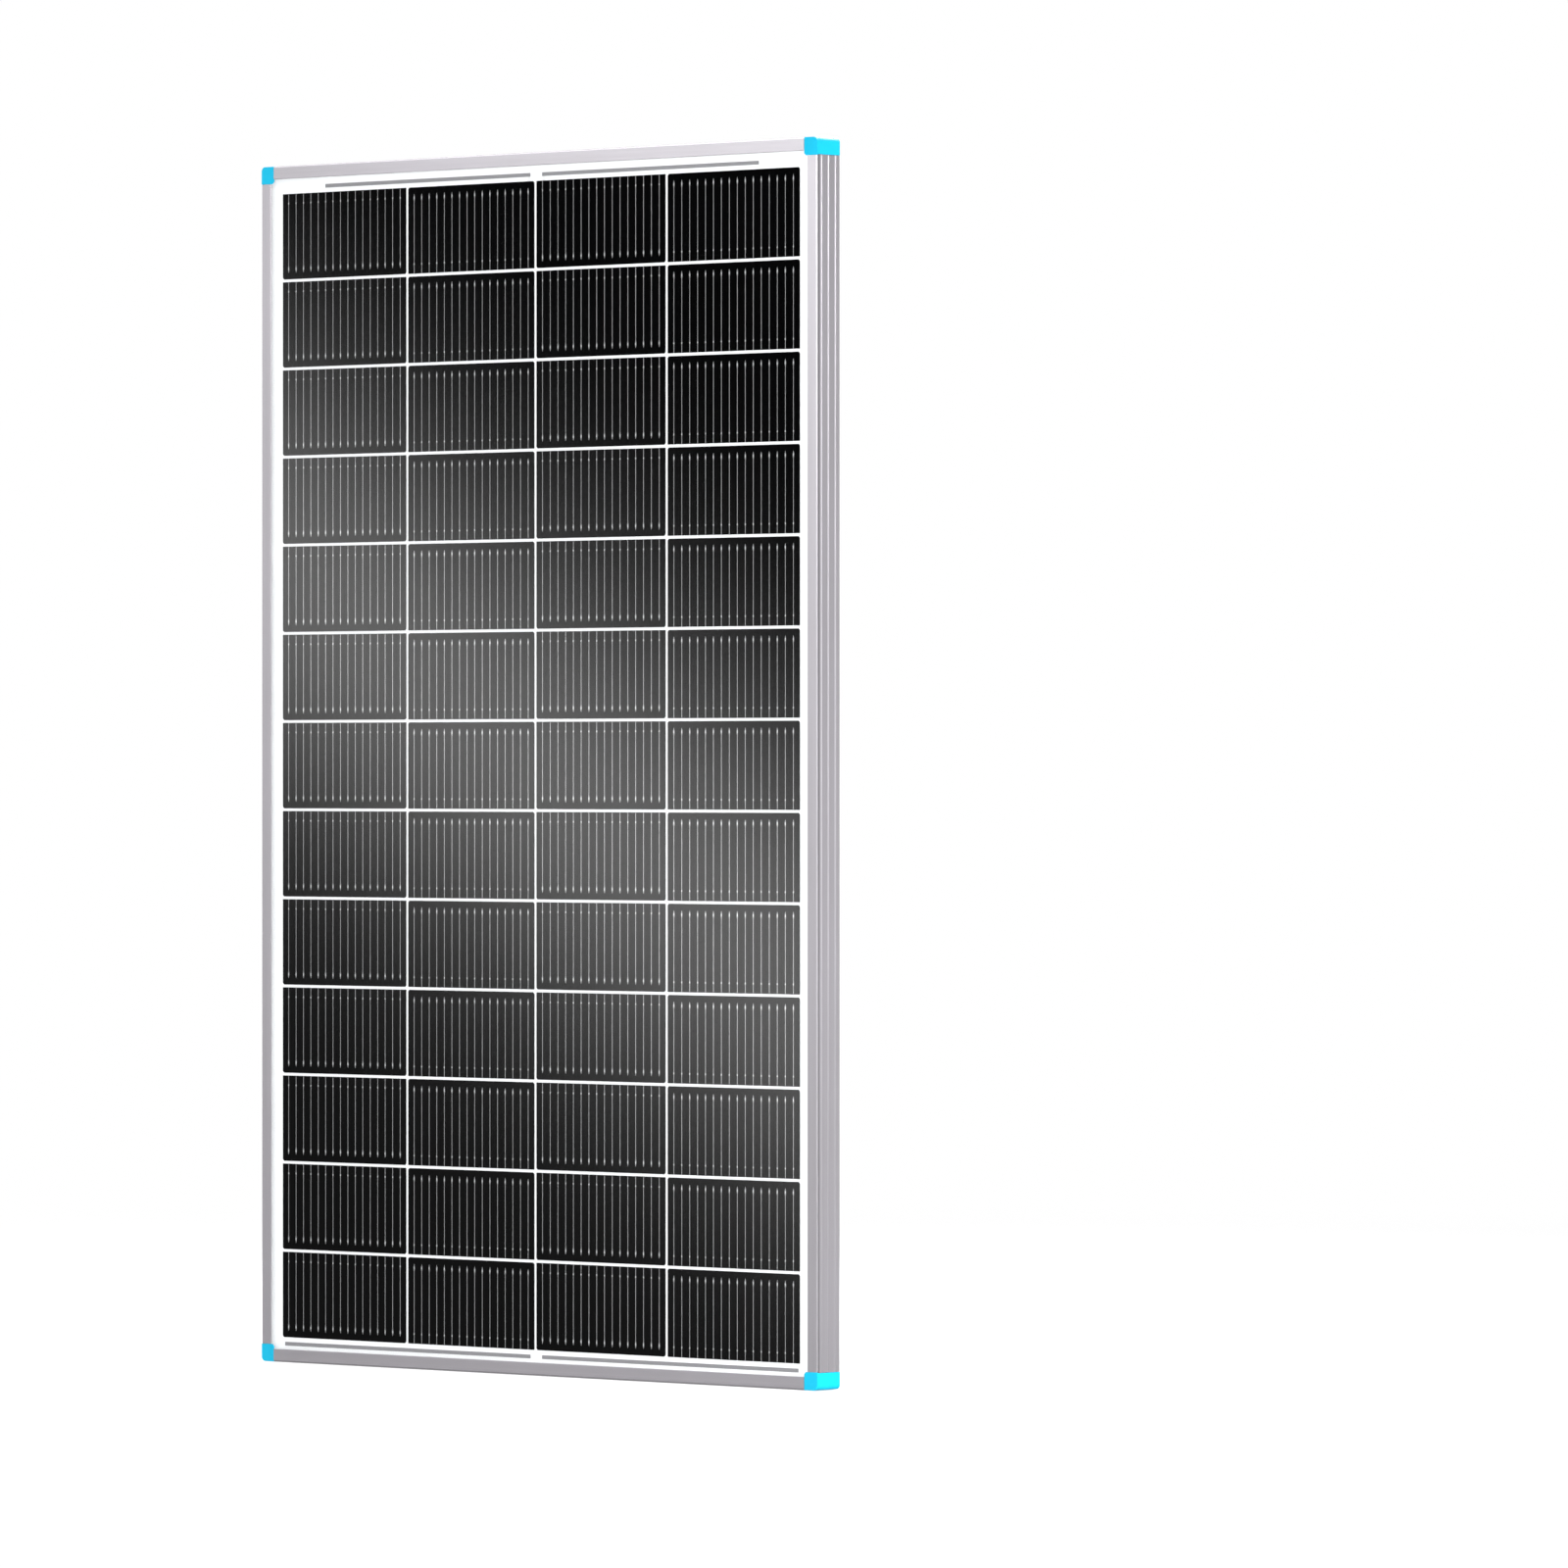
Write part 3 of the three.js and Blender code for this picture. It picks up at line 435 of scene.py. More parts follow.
def shade(thing, sharp):
    mesh = thing.data
    mesh.polygons.foreach_set("use_smooth", [True] * len(mesh.polygons))
    mesh.set_sharp_from_angle(angle=math.radians(sharp))
    mesh.update()


def bake_modifiers(thing, sharp=35):
    depsgraph = bpy.context.evaluated_depsgraph_get()
    mesh = bpy.data.meshes.new_from_object(thing.evaluated_get(depsgraph), depsgraph=depsgraph)
    thing.modifiers.clear()
    thing.data = mesh
    shade(thing, sharp)


def bevel(thing, width, segments=3, angle=30):
    modifier = thing.modifiers.new("b", "BEVEL")
    modifier.width = width * MM
    modifier.segments = segments
    modifier.limit_method = "ANGLE"
    modifier.angle_limit = math.radians(angle)
    modifier.miter_outer = "MITER_ARC"
    bake_modifiers(thing)


def weight_normals(thing, weight):
    modifier = thing.modifiers.new("w", "WEIGHTED_NORMAL")
    modifier.keep_sharp = True
    modifier.weight = weight


def place(thing, body, slot, *replaced):
    """Tie a piece to its body, standing for the CAD nodes it replaces. The slot argument is not used.
    """
    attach(thing, body)
    if replaced:
        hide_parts(*replaced)


def from_cad(node, name, material, slot, width, segments, angle):
    """A softened copy of a CAD node, standing for it."""
    source = nodes[node]
    bm = bmesh.new()
    bm.from_mesh(source.data)
    bmesh.ops.remove_doubles(bm, verts=bm.verts[:], dist=2e-6)
    bmesh.ops.dissolve_limit(bm, angle_limit=math.radians(0.8), verts=bm.verts[:],
                             edges=bm.edges[:])
    mesh = bpy.data.meshes.new(name)
    bm.to_mesh(mesh)
    bm.free()
    mesh.materials.append(material)
    thing = bpy.data.objects.new(name, mesh)
    scene.collection.objects.link(thing)
    bevel(thing, width, segments, angle)
    weight_normals(thing, weight=100)
    place(thing, source["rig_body"], slot, node)


def loft(name, levels, material, sharp=35, loop=False):
    """Skin over rings of (x, y, z) in mm; the ends are filled, or joined to each other by loop."""
    count, around = len(levels), len(levels[0])
    verts = [tuple(c * MM for c in point) for level in levels for point in level]
    faces = []
    for k in range(count if loop else count - 1):
        here, there = k * around, (k + 1) % count * around
        for i in range(around):
            j = (i + 1) % around
            faces.append((here + i, here + j, there + j, there + i))
    if not loop:
        faces.append(tuple(range(around)))
        faces.append(tuple(range((count - 1) * around, count * around)))
    return make(name, verts, faces, material, sharp=sharp)


def smoothstep(t):
    return t * t * (3 - 2 * t)


def clamp(t):
    return max(0.0, min(1.0, t))


def revolve(name, profile, material, x, y, around, ribs=0, sharp=40):
    """Turn a closed profile about a vertical axis at x, y. Its points are (height, radius), with
    a third value where ribs stand out by that much."""
    levels = []
    for height, radius, *rib in profile:
        level = []
        for i in range(around):
            turn = 2 * math.pi * i / around
            reach = radius
            if rib:
                reach += rib[0] * smoothstep(clamp(0.5 + 1.3 * math.cos(ribs * turn)))
            level.append((x + reach * math.cos(turn), y + reach * math.sin(turn), height))
        levels.append(level)
    return loft(name, levels, material, sharp, loop=True)


def prism(outline, axis, start, end):
    """Closed prism from an outline in mm: axis "x" takes (y, z), "y" takes (x, z)."""
    count = len(outline)
    verts = []
    for w in (start, end):
        for u, v in outline:
            point = (w, u, v) if axis == "x" else (u, w, v)
            verts.append(tuple(c * MM for c in point))
    faces = [tuple(range(count)), tuple(range(count, 2 * count))]
    for i in range(count):
        j = (i + 1) % count
        faces.append((i, j, j + count, i + count))
    return verts, faces


def block(name, outline, axis, start, end):
    return make(name, *prism(outline, axis, start, end), BLACK)


def join(parts):
    """Merge (verts, faces, material index) parts into one."""
    verts, faces, slots = [], [], []
    for part_verts, part_faces, slot in parts:
        base = len(verts)
        verts += part_verts
        faces += [tuple(i + base for i in face) for face in part_faces]
        slots += [slot] * len(part_faces)
    return verts, faces, slots


def arc(u, v, radius, start, end, steps):
    points = []
    for i in range(steps + 1):
        turn = math.radians(start + (end - start) * i / steps)
        points.append((u + radius * math.cos(turn), v + radius * math.sin(turn)))
    return points


def rect(u0, u1, v0, v1):
    return [(u0, v0), (u1, v0), (u1, v1), (u0, v1)]


def rounded_rect(u0, u1, v0, v1, radius, steps):
    left, right, low, high = u0 + radius, u1 - radius, v0 + radius, v1 - radius
    return (arc(right, high, radius, 0, 90, steps) + arc(left, high, radius, 90, 180, steps)
            + arc(left, low, radius, 180, 270, steps) + arc(right, low, radius, 270, 360, steps))


def boolean(thing, tools, operation="DIFFERENCE", sharp=35):
    for tool in tools:
        modifier = thing.modifiers.new("c", "BOOLEAN")
        modifier.operation = operation
        modifier.solver = "EXACT"
        modifier.object = tool
    bake_modifiers(thing, sharp)
    for tool in tools:
        bpy.data.objects.remove(tool)


def side_cutters(outline, x, near, far):
    """Cutters on both sides of a plug's axis at x."""
    return [block("cut", outline, "x", x + a, x + b) for a, b in ((near, far), (-far, -near))]


# ------------------------------------------------------------------ CAD pieces kept as they are
LEAD_OUTS = ("lead_out_left", "lead_out_right")
RIBBONS = tuple("bus_ribbon_" + corner for corner in CORNERS)
DRESSED = (
    (ALU_Z, ("frame_rail_left", "frame_rail_right")),
    (ALU_X, ("frame_rail_top", "frame_rail_bottom")),
    (ALU_MILL, tuple("corner_key_" + corner for corner in CORNERS)),
    (SEAL, ("frame_seal", "jbox_adhesive_pad")),
    (SHEET, ("backsheet",)),
    (RIBBON, RIBBONS),
    (SLEEVE, LEAD_OUTS),
    (RUBBER, ("jbox_lid_gasket", "gland_seal_left", "gland_seal_right", "connector_seal_left",
              "connector_seal_right")),
    (STEEL, ("jbox_hinge_pin",)),
    (COPPER, ("terminal_left", "terminal_right", "contact_socket", "contact_pin")),
    (DIODE, ("bypass_diode",)),
)
for material, names in DRESSED:
    for name in names:
        slots = nodes[name].data.materials
        slots.clear()
        slots.append(material)

for corner in CORNERS:
    from_cad("corner_cap_" + corner, "cap_" + corner, BLUE, "blue_plastic",
             width=0.55, segments=3, angle=30)


# ------------------------------------------------------------------ cover glass
def glass_pane():
    """One pane with eased edges, standing for the glass and the films behind it."""
    ease, corner_radius = 0.35, 1.2
    low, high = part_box("glass_cover")
    half_width, z0, z1 = high.x * 1000, low.z * 1000, high.z * 1000
    front, back = low.y * 1000, high.y * 1000
    levels = []
    for inset, y in ((ease, back), (0, back - ease), (0, front + ease), (ease, front)):
        outline = rounded_rect(-half_width + inset, half_width - inset, z0 + inset, z1 - inset,
                               corner_radius, steps=3)
        levels.append([(x, y, z) for x, z in outline])
    place(loft("glass_pane", levels, GLASS), "panel", "cover_glass",
          "glass_cover", "encapsulant_front", "encapsulant_rear")


glass_pane()

# ------------------------------------------------------------------ cells and their wires
TIP_CHAMFER = 1.7
WIRES, WIRE_X0, WIRE_PITCH = 16, 8.7, 10.97
WIRE_DEPTH = 0.035
PAD_FRONT, PAD_BACK = 0.05, 0.036       # in front of the cells
# outlines: (x, distance from the tip edge of the cell)
CELL_OUTLINE = [(TIP_CHAMFER, 0), (CELL_W - TIP_CHAMFER, 0), (CELL_W, TIP_CHAMFER),
                (CELL_W, CELL_H), (0, CELL_H), (0, TIP_CHAMFER)]
WIRE_HALF = [(0, 6.6), (0.4, 8.0), (0.82, 9.8), (0.82, 12.6), (0.39, 14.6), (0.39, 79.2),
             (0.72, 80.2), (0.72, 81.4), (0.39, 82.4), (0.39, CELL_H - 0.2)]
WIRE_OUTLINE = WIRE_HALF + [(-x, v) for x, v in reversed(WIRE_HALF[1:])]
PADS = ((11.0, 1.5, 0.56), (80.8, 0.9, 0.52))       # distance from tip edge, half height, half width


def pad_outline(middle, half_height, half_width):
    low, high = middle - half_height * 0.6, middle + half_height * 0.6
    return [(-half_width, low), (0, middle - half_height), (half_width, low),
            (half_width, high), (0, middle + half_height), (-half_width, high)]


def cell_string(number, tip_down, front, back):
    """One column of cells, and the wires and pads on its front."""
    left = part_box("cell_string_%d" % number)[0].x * 1000
    cells, wires = [], []
    for row in range(CELLS_PER_STRING):
        z0 = CELLS_Z0 + row * PITCH_Z

        def part(outline, x, y0, y1, slot=0):
            placed = [(x + u, z0 + v if tip_down else z0 + CELL_H - v) for u, v in outline]
            return (*prism(placed, "y", y0, y1), slot)

        cells.append(part(CELL_OUTLINE, left, front, back))
        for k in range(WIRES):
            x = left + WIRE_X0 + WIRE_PITCH * k
            wires.append(part(WIRE_OUTLINE, x, front - WIRE_DEPTH, front))
            for pad in PADS:
                wires.append(part(pad_outline(*pad), x, front - PAD_FRONT, front - PAD_BACK, 1))
    verts, faces, _ = join(cells)
    place(make("cells_%d" % number, verts, faces, CELL), "panel", "silicon_cell",
          "cell_string_%d" % number)
    verts, faces, slots = join(wires)
    place(make("busbars_%d" % number, verts, faces, WIRE, PAD, slots=slots), "panel",
          "tinned_ribbon")


cells_low, cells_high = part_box("cell_string_1")
cells_front, cells_back = cells_low.y * 1000, cells_high.y * 1000
for number in range(1, STRINGS + 1):
    cell_string(number, number % 2 == 1, cells_front, cells_back)

# ------------------------------------------------------------------ junction box
LID_HALF_W, LID_Z0, LID_Z1, LID_RADIUS = 64.0, 1102.0, 1200.0, 8.0
# (inset, y), from inside the rim, over its edge, to the sunken face
LID_RINGS = (
    (2.5, 12.5), (2.5, 6.5), (0.25, 6.5), (0, 6.8), (0, 13.0), (0.15, 13.6), (0.6, 14.15),
    (1.2, 14.4), (1.9, 14.5), (6.2, 14.5), (6.6, 14.4), (7.1, 13.9), (7.6, 13.7),
)


def lid_ring(inset, y):
    outline = rounded_rect(-LID_HALF_W + inset, LID_HALF_W - inset, LID_Z0 + inset,
                           LID_Z1 - inset, max(0.8, LID_RADIUS - inset), steps=8)
    return [(x, y, z) for x, z in outline]


def lid_field():
    """Lower part of the lid face, 0.55 mm prouder, up to a swept step."""
    half_width, bottom, chamfer = 55.4, 1110.6, 2.0
    step_z, step_rise, steps = 1151, 13, 24
    outline = []
    for i in range(steps + 1):
        t = i / steps
        outline.append((half_width - 2 * half_width * t, step_z + step_rise * smoothstep(t)))
    outline += [(-half_width, bottom + chamfer), (-half_width + chamfer, bottom),
                (half_width - chamfer, bottom), (half_width, bottom + chamfer)]
    field = block("lid_field", outline, "y", 13.4, 14.25)
    bevel(field, 0.3)
    return field


def lid_rule():
    """Shallow raised line round the upper part of the lid face."""
    outer, inner, top, inner_top = 50.5, 49.3, 1191.5, 1190.3
    outline = [(outer, top), (-outer, top), (-outer, 1173), (-inner, 1173),
               (-inner, inner_top), (inner, inner_top), (inner, 1160), (outer, 1160)]
    return block("lid_rule", outline, "y", 13.5, 14.0)


def hinge_arm():
    """Arm from the lid's upper edge round the hinge pin."""
    hinge_y, hinge_z, knuckle_radius, hole_radius, half_width = 3.0, 1206.0, 4.6, 1.75, 4.9
    outline = [(6.6, LID_Z1 - 1.4), (12.6, LID_Z1 - 1.4), (12.6, LID_Z1 + 3.0)]
    outline += arc(hinge_y, hinge_z, knuckle_radius, 60, 350, steps=22)
    arm = block("hinge_arm", outline, "x", -half_width, half_width)
    hole = arc(hinge_y, hinge_z, hole_radius, 0, 345, steps=24)
    boolean(arm, [block("cut", hole, "x", -8, 8)])
    bevel(arm, 0.4, segments=2, angle=40)
    return arm


def finger_tab():
    """Small tab at the lid's lower edge."""
    tab = block("finger_tab", [(-9, 1102.6), (9, 1102.6), (8, 1100.4), (-8, 1100.4)],
                "y", 9.5, 12.8)
    bevel(tab, 0.5, segments=2)
    return tab


from_cad("jbox_base", "jbox_tray", BLACK, "black_plastic", width=0.35, segments=2, angle=32)
lid = loft("jbox_cover", [lid_ring(*station) for station in LID_RINGS], BLACK, sharp=50)
boolean(lid, [lid_field(), lid_rule(), hinge_arm(), finger_tab()], "UNION", sharp=40)
weight_normals(lid, weight=50)
place(lid, "jbox_lid_body", "black_plastic", "jbox_lid")
for side in ("left", "right"):
    for level in ("upper", "lower"):
        from_cad("lid_clip_%s_%s" % (side, level), "clip_%s_%s" % (side, level), BLACK,
                 "black_plastic", width=0.45, segments=2, angle=32)

# ------------------------------------------------------------------ glands
# (height, radius[, rib height])
GLAND_PROFILE = (
    (1101.5, 6.8), (1101.5, 9.3), (1101.0, 9.55, 0.2), (1100.0, 9.6, 0.62), (1086.4, 9.6, 0.62),
    (1085.2, 9.5, 0.3), (1084.4, 9.35), (1082.0, 8.6), (1079.0, 7.3), (1077.8, 6.6),
    (1077.4, 6.1), (1077.4, 4.8), (1077.8, 4.4), (1083.0, 4.35), (1083.0, 6.8),
)
for sign, side, suffix in SIDES:
    nut = revolve("gland_cap_" + side, GLAND_PROFILE, BLACK, CABLE_X * sign, GLAND_Y,
                  around=112, ribs=14)
    place(nut, "gland_nut_" + suffix, "black_plastic", "gland_nut_" + side)

# ------------------------------------------------------------------ cables
CABLE_RADIUS, CABLE_END_Z = 3.7, 650
HINGE_Z, BLEND_HALF = 1070.0, 8.5           # the cable passes from panel to lead about this height
LOOP_Z, LOOP_RADIUS, LOOP_SHIFT_Y = 888.0, 110.0, 7.8
LOOP_LENGTH = 2 * math.pi * LOOP_RADIUS
CABLE_LENGTH = (HINGE_Z - LOOP_Z) + LOOP_LENGTH + (LOOP_Z - CABLE_END_Z)


def ease(start, end, t):
    return smoothstep(clamp((t - start) / (end - start)))


def lead_point(sign, distance):
    """Point at a distance along the cable below the hinge height; negative is in the gland."""
    drop = HINGE_Z - LOOP_Z
    if distance <= drop:
        return (sign * CABLE_X, GLAND_Y, HINGE_Z - distance)
    if distance <= drop + LOOP_LENGTH:
        turn = (distance - drop) / LOOP_RADIUS
        return (sign * (CABLE_X + LOOP_RADIUS * (1 - math.cos(turn))),
                GLAND_Y + LOOP_SHIFT_Y * ease(0.15, 5.6, turn),
                LOOP_Z - LOOP_RADIUS * math.sin(turn))
    z = LOOP_Z - (distance - drop - LOOP_LENGTH)
    loop_y = GLAND_Y + LOOP_SHIFT_Y
    return (sign * CABLE_X, loop_y + (PLUG_Y - loop_y) * ease(-845, -705, -z), z)


def tube(name, points, radius, material, around=20):
    """Round tube along points, slightly drawn in at both ends."""
    path = np.array(points, float)
    tangents = np.gradient(path, axis=0)
    tangents /= np.linalg.norm(tangents, axis=1)[:, None]
    normal = np.array([0.0, 1.0, 0.0])
    levels = []
    for k, (centre, tangent) in enumerate(zip(path, tangents)):
        normal = normal - tangent * (normal @ tangent)
        normal /= np.linalg.norm(normal)
        binormal = np.cross(tangent, normal)
        reach = radius * (0.86 if k in (0, len(path) - 1) else 1.0)
        turns = [2 * math.pi * i / around for i in range(around)]
        levels.append([centre + reach * (normal * math.cos(turn) + binormal * math.sin(turn))
                       for turn in turns])
    return loft(name, levels, material, sharp=50)


# finer steps through the blend at the gland
STATIONS = [-44, -43.6, *np.arange(-40, 28, 1.6), *np.arange(28, CABLE_LENGTH - 1, 4.2),
            CABLE_LENGTH - 0.5, CABLE_LENGTH]
for sign, side, suffix in SIDES:
    cable = tube("cable_" + side, [lead_point(sign, d) for d in STATIONS], CABLE_RADIUS, JACKET)
    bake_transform(cable)
    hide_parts("cable_lead_" + side, "cable_stub_" + side)

# ------------------------------------------------------------------ plug connectors
# (height from the plug's top, radius[, rib height])
PLUG_CAP_PROFILE = (
    (-34.6, 9.6), (-34.6, 12.2), (-34.1, 12.5, 0.2), (-33.2, 12.6, 0.85), (-10.5, 12.6, 0.85),
    (-8.8, 12.5, 0.5), (-7.6, 12.3), (-4.2, 11.5), (-1.8, 10.2), (-0.5, 8.6), (0, 7.0), (0, 5.0),
    (-0.6, 4.5), (-6, 4.5), (-10, 9.6),
)
# upper end of both plug bodies, inside the cap
PLUG_NECK = ((-35.1, 11.3), (-35.0, 8.9), (-17, 8.9), (-17, 4.2), (-33, 4.2), (-34, 3.3))
FIN_ROOT, FIN_TIP = 11.3, 13.2


def raised(profile, base):
    return [(base + height, *rest) for height, *rest in profile]


def fins(base, count, pitch):
    edge = FIN_TIP - 0.35
    fin = ((0, FIN_ROOT), (0.15, edge), (0.5, FIN_TIP), (1.7, FIN_TIP), (2.05, edge),
           (2.2, FIN_ROOT))
    return [point for i in range(count) for point in raised(fin, base + i * pitch)]


def plug_body(name, profile, sign):
    return revolve(name, profile + raised(PLUG_NECK, PLUG_TOP), BLACK, sign * CABLE_X, PLUG_Y,
                   around=72, sharp=38)


def socket_plug():
    """Wide-mouthed body with two windows and two slots at its lower end."""
    end = PLUG_TOP - 91.5
    mouth = ((24, 3.3), (24, 7.2), (0.6, 7.2), (0, 7.7), (0, 12.6), (0.3, 13.1), (1.0, 13.4),
             (9.6, 13.4), (10.5, 13.0), (10.9, 12.2), (11.2, 11.3))
    body = plug_body("plug_socket_body", raised(mouth, end) + fins(end + 21.9, 7, 4.6), 1)
    window = rounded_rect(PLUG_Y - 4.4, PLUG_Y + 4.4, end + 1.8, end + 8.2, 1.0, steps=4)
    slot = rect(PLUG_Y - 1.6, PLUG_Y + 1.6, end - 2, end + 4.5)
    cuts = side_cutters(window, CABLE_X, 8.0, 16) + side_cutters(slot, CABLE_X, 5.5, 16)
    boolean(body, cuts, sharp=38)
    place(body, "lead_l", "black_plastic", "connector_body_left")


def pin_plug():
    """Body with a slim nose, notched on both sides at the shoulder, and a ring on the nose."""
    end, shoulder = PLUG_TOP - 85.7, PLUG_TOP - 50.7
    nose = raised(((0.5, 3.3), (0, 3.8), (0, 4.9), (0.4, 5.5), (1.0, 5.85)), end)
    nose += raised(((-2.2, 5.85), (-0.9, 6.6), (0, 8.2), (0, 11.0), (0.5, 11.3)), shoulder)
    body = plug_body("plug_pin_body", nose + fins(shoulder + 2, 3, 4.7), -1)
    notch = rect(PLUG_Y - 4.7, PLUG_Y + 4.7, shoulder - 4, shoulder + 3.3)
    boolean(body, side_cutters(notch, -CABLE_X, 7.7, 14), sharp=38)
    place(body, "lead_r", "black_plastic", "connector_body_right")
    section = ((-4.4, 5.9), (-4.2, 6.35), (-3.6, 6.55), (-3.0, 6.35), (-2.8, 5.9))
    ring = revolve("plug_nose_ring", raised(section, shoulder), RUBBER, -CABLE_X, PLUG_Y,
                   around=48, sharp=80)
    place(ring, "lead_r", "black_rubber")


for sign, side, suffix in SIDES:
    cap = revolve("plug_cap_" + side, raised(PLUG_CAP_PROFILE, PLUG_TOP), BLACK, CABLE_X * sign,
                  PLUG_Y, around=128, ribs=16)
    place(cap, "connector_nut_" + suffix, "black_plastic", "connector_nut_" + side)
socket_plug()
pin_plug()
for tine in "ab":
    from_cad("lock_tine_" + tine, "tine_" + tine, BLACK, "black_plastic",
             width=0.35, segments=2, angle=30)


# ------------------------------------------------------------------ studio, in metres
def studio_world():
    """White to the eye, an even glow on matt surfaces, darker downwards for mirrors."""
    world = bpy.data.worlds.new("studio")
    scene.world = world
    world.use_nodes = True
    tree = world.node_tree
    tree.nodes.clear()
    new, link = tree.nodes.new, tree.links.new
    output = new("ShaderNodeOutputWorld")
    rays = new("ShaderNodeLightPath")
    coords = new("ShaderNodeTexCoord")
    split = new("ShaderNodeSeparateXYZ")
    link(coords.outputs["Generated"], split.inputs[0])
    fade = new("ShaderNodeMapRange")
    fade.interpolation_type = "SMOOTHSTEP"
    link(split.outputs["Z"], fade.inputs["Value"])
    for key, value in (("From Min", -0.1), ("From Max", 0.7), ("To Min", 0.16), ("To Max", 1.1)):
        fade.inputs[key].default_value = value

    def background(color, strength=None):
        node = new("ShaderNodeBackground")
        node.inputs[0].default_value = (*color, 1)
        if strength is None:
            link(fade.outputs[0], node.inputs[1])
        else:
            node.inputs[1].default_value = strength
        return node.outputs[0]

    def switch(ray, otherwise, seen):
        node = new("ShaderNodeMixShader")
        link(rays.outputs[ray], node.inputs[0])
        link(otherwise, node.inputs[1])
        link(seen, node.inputs[2])
        return node.outputs[0]

    matt = background(color=(0.985, 0.98, 1.0), strength=0.8)
    lighting = switch("Is Glossy Ray", matt, background(color=(0.99, 0.98, 1.0)))
    white = background(color=(1, 1, 1), strength=1.0)
    link(switch("Is Camera Ray", lighting, white), output.inputs[0])


def floor_material():
    """Pale and half glowing, fading out with distance from the panel."""
    m = Material("floor")
    x, y, _ = m.xyz()
    radius = m.math("SQRT", m.add(m.mul(x, x), m.mul(y, y)))
    fade = m.remap(radius, span=(900.0, 4200.0), smooth=True)
    tone = m.noise(scale=0.004)
    matt = m.node("BsdfDiffuse")
    m.link(m.mix(tone, (0.90, 0.90, 0.905), (0.93, 0.93, 0.93)), matt.inputs[0])
    clear = m.node("BsdfTransparent")
    glow = m.node("Emission")
    glow.inputs["Color"].default_value = (1, 1, 1, 1)
    glow_share = 0.55
    return m.finish(m.mix_shader(fade, m.mix_shader(glow_share, matt, glow), clear))


def studio_floor():
    """Disc that fades out into the white background."""
    radius, z, steps = 9, -0.0006, 96
    verts = [(0, 0, z)]
    for i in range(steps):
        turn = 2 * math.pi * i / steps
        verts.append((radius * math.cos(turn), radius * math.sin(turn), z))
    faces = [(0, 1 + i, 1 + (i + 1) % steps) for i in range(steps)]
    floor = make("floor", verts, faces, floor_material())
    floor.visible_diffuse = floor.visible_glossy = False


def streak_material():
    """Soft diagonal streak, as a studio strip light leaves across the glass."""
    origin_x, origin_z, unit = 2790.0, 244.0, 1387.6    # mm; the lengths below are in this unit
    centre, slope, width = 0.6358, 0.5569, 0.2287       # the streak falls towards +X
    peak, below_span, below_glow = 3.17, -0.45, 0.13    # peak strength; faint glow under it
    m = Material("streak")
    emission = m.node("Emission")
    x, _, z = m.xyz()
    across = m.div(m.add(x, origin_x), unit)
    height = m.div(m.add(z, origin_z), unit)
    above = m.sub(height, m.sub(centre, m.mul(across, slope)))
    ratio = m.div(above, width)
    strength = m.mul(m.math("EXPONENT", m.mul(m.mul(ratio, ratio), -1.0)), peak)
    below = m.remap(above, span=(0.0, below_span), to=(0.0, below_glow), smooth=True)
    m.link(m.add(strength, below), emission.inputs["Strength"])
    emission.inputs["Color"].default_value = (1.0, 0.98, 0.975, 1)
    return m.finish(emission)


def reflection_card():
    """Card in front of the panel that only mirrors see."""
    y = -3.0
    verts = [(x, y, z) for x, z in rect(-4.3, -1.3, -1.0, 2.3)]
    card = make("reflection_card", verts, [(0, 1, 2, 3)], streak_material())
    for ray in ("camera", "diffuse", "transmission", "volume_scatter", "shadow"):
        setattr(card, "visible_" + ray, False)


def area(name, at, target, size, power, glossy=True):
    light = bpy.data.lights.new(name, "AREA")
    light.shape = "RECTANGLE"
    light.size, light.size_y = size
    light.energy = power
    lamp = bpy.data.objects.new(name, light)
    lamp.location = at
    lamp.rotation_euler = (Vector(target) - Vector(at)).to_track_quat("-Z", "Y").to_euler()
    lamp.visible_camera = False
    lamp.visible_glossy = glossy
    scene.collection.objects.link(lamp)
    return lamp


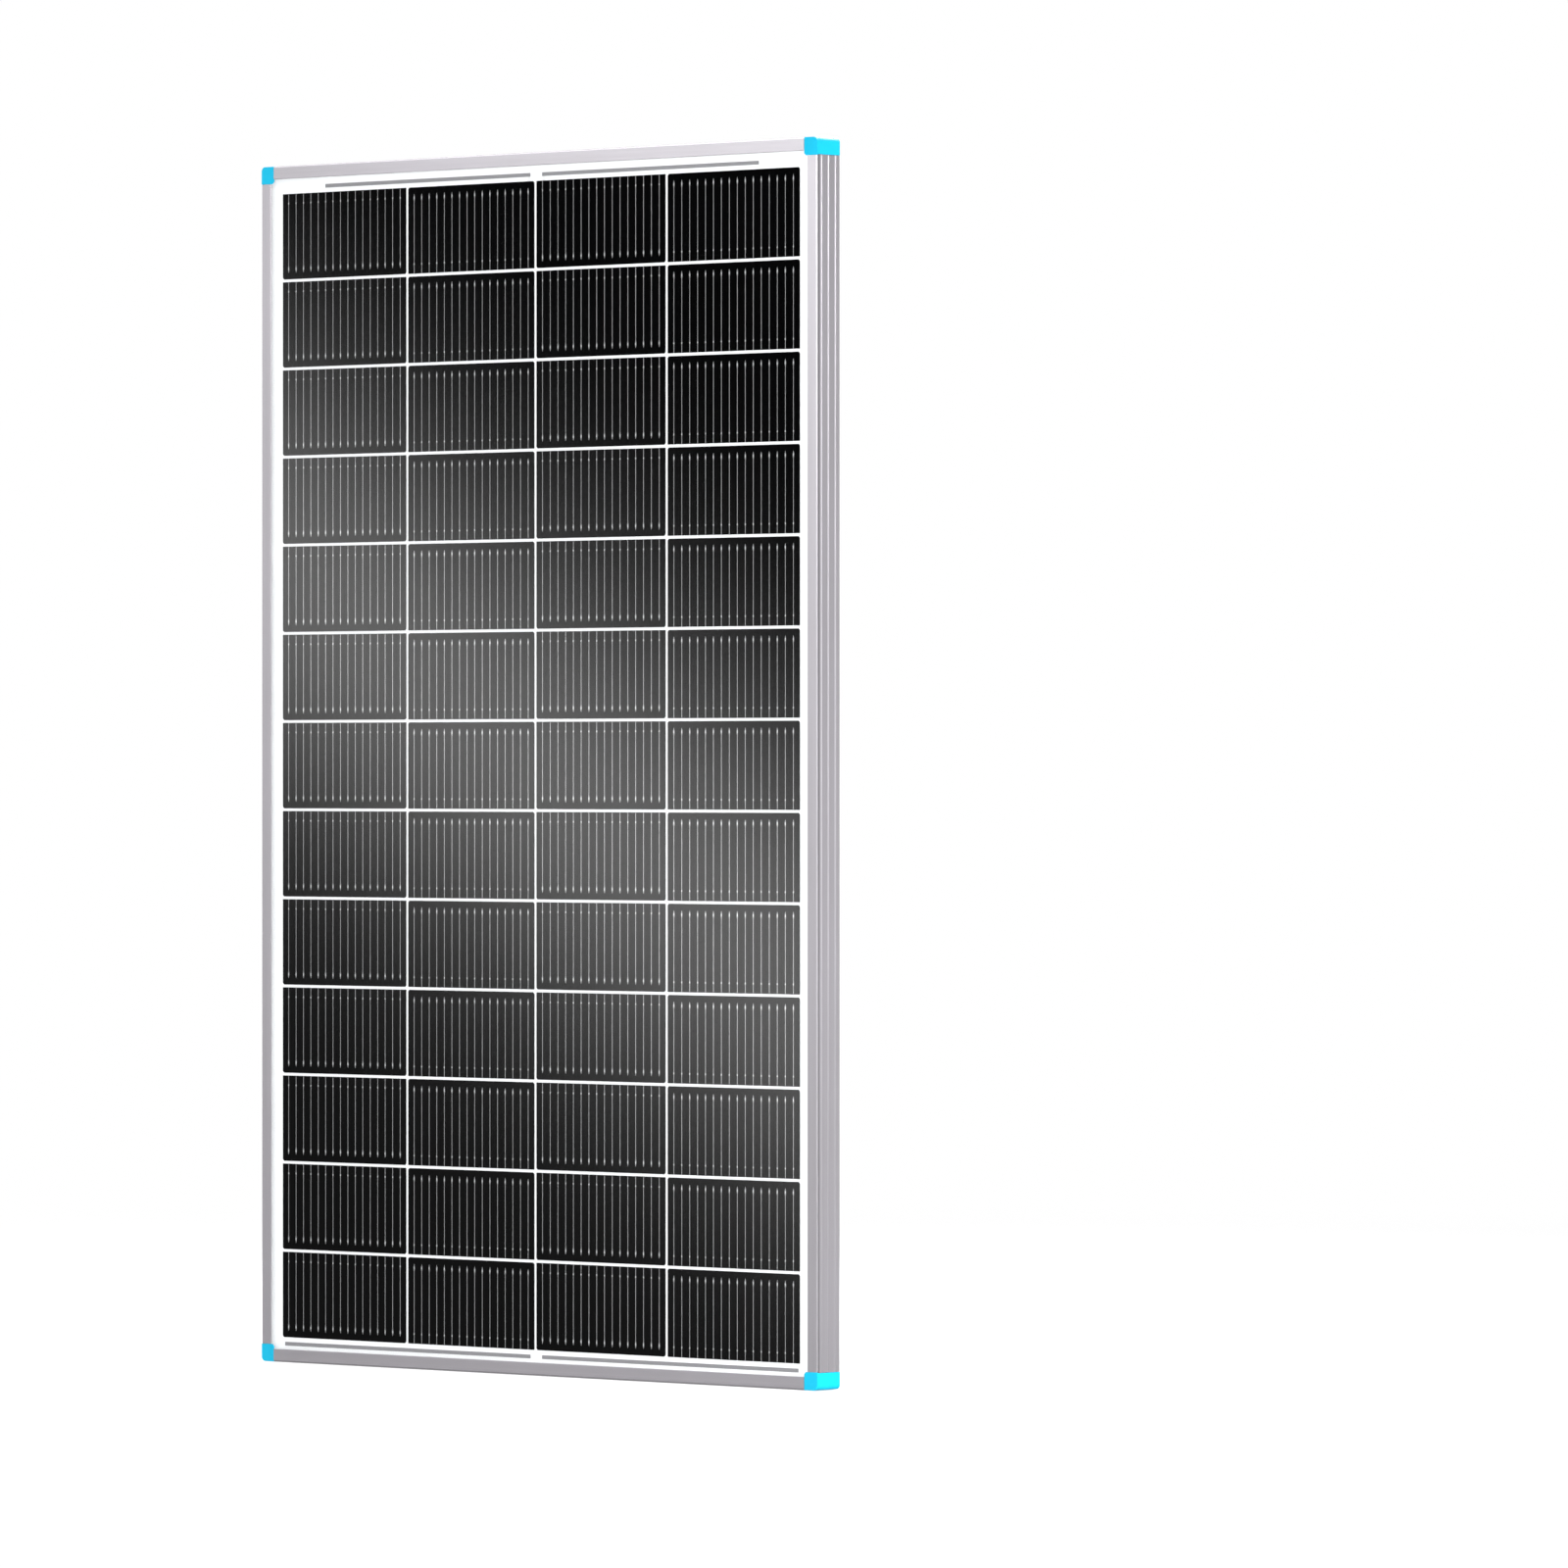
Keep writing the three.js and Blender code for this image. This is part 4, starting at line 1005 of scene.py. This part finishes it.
def studio_lights():
    objects = bpy.data.objects
    key_front = area("key_front", at=(0.5, -1.3, 2.0), target=(0.1, 0, 0.9), size=(0.9, 0.7),
                     power=62)
    area("key_back", at=(-0.3, 2.2, 2.3), target=(0, 0, 0.9), size=(1.4, 1.0), power=172)
    for name, sign in (("fill_right", 1), ("fill_left", -1)):
        area(name, at=(1.8 * sign, -0.2 * sign, 0.1), target=(0.4 * sign, 0, 0.4),
             size=(0.8, 0.4), power=33, glossy=False)

    # the caps get a flatter light of their own, so that their blue stays even
    middle = (0, 0, 0.64)
    cap_key = area("cap_key", at=(3.2, -3.2, 1.3), target=middle, size=(1.0, 1.0), power=235)
    caps_lit = bpy.data.collections.new("caps_lit")
    unlit = bpy.data.collections.new("caps_unlit")      # all that key_front leaves out
    caps = [objects["cap_" + corner] for corner in CORNERS]

    # so do the white sheet, its ribbons and the wires, so that the margins aren't burnt out
    sheet_key = area("sheet_key", at=(2.8, -3.2, 1.0), target=middle, size=(1.2, 1.2),
                     power=150, glossy=False)
    sheet_back = area("sheet_back", at=(-0.2, 4.0, 0.95), target=middle, size=(1.2, 1.2),
                      power=26, glossy=False)
    sheet_lit = bpy.data.collections.new("sheet_lit")
    flat = [nodes[name] for name in ("backsheet", "frame_seal", *LEAD_OUTS, *RIBBONS)]
    flat += [objects["busbars_%d" % (i + 1)] for i in range(STRINGS)]

    for lit, things in ((caps_lit, caps), (sheet_lit, flat)):
        for thing in things:
            lit.objects.link(thing)
            unlit.objects.link(thing)
    for entry in unlit.collection_objects:
        entry.light_linking.link_state = "EXCLUDE"
    for lamp, receivers in ((cap_key, caps_lit), (key_front, unlit), (sheet_key, sheet_lit),
                            (sheet_back, sheet_lit)):
        lamp.light_linking.receiver_collection = receivers


def studio_camera():
    """Level, from the glass side, to the right of the panel."""
    heading = math.radians(41.6457)
    sideways = 0.00105      # small move to the camera's left
    lens = bpy.data.cameras.new("camera")
    lens.sensor_width = 36.0
    lens.lens = 232.128
    lens.clip_start, lens.clip_end = 0.5, 100
    lens.shift_y = -0.00784375
    camera = bpy.data.objects.new("camera", lens)
    camera.location = (7.20037 - sideways * math.cos(heading),
                       -7.71833 - sideways * math.sin(heading), 0.6293)
    camera.rotation_euler = (math.radians(90), 0, heading)
    scene.collection.objects.link(camera)
    scene.camera = camera
    scene.view_settings.view_transform = "Standard"
    scene.view_settings.look = "None"


studio_world()
studio_floor()
reflection_card()
studio_lights()
studio_camera()
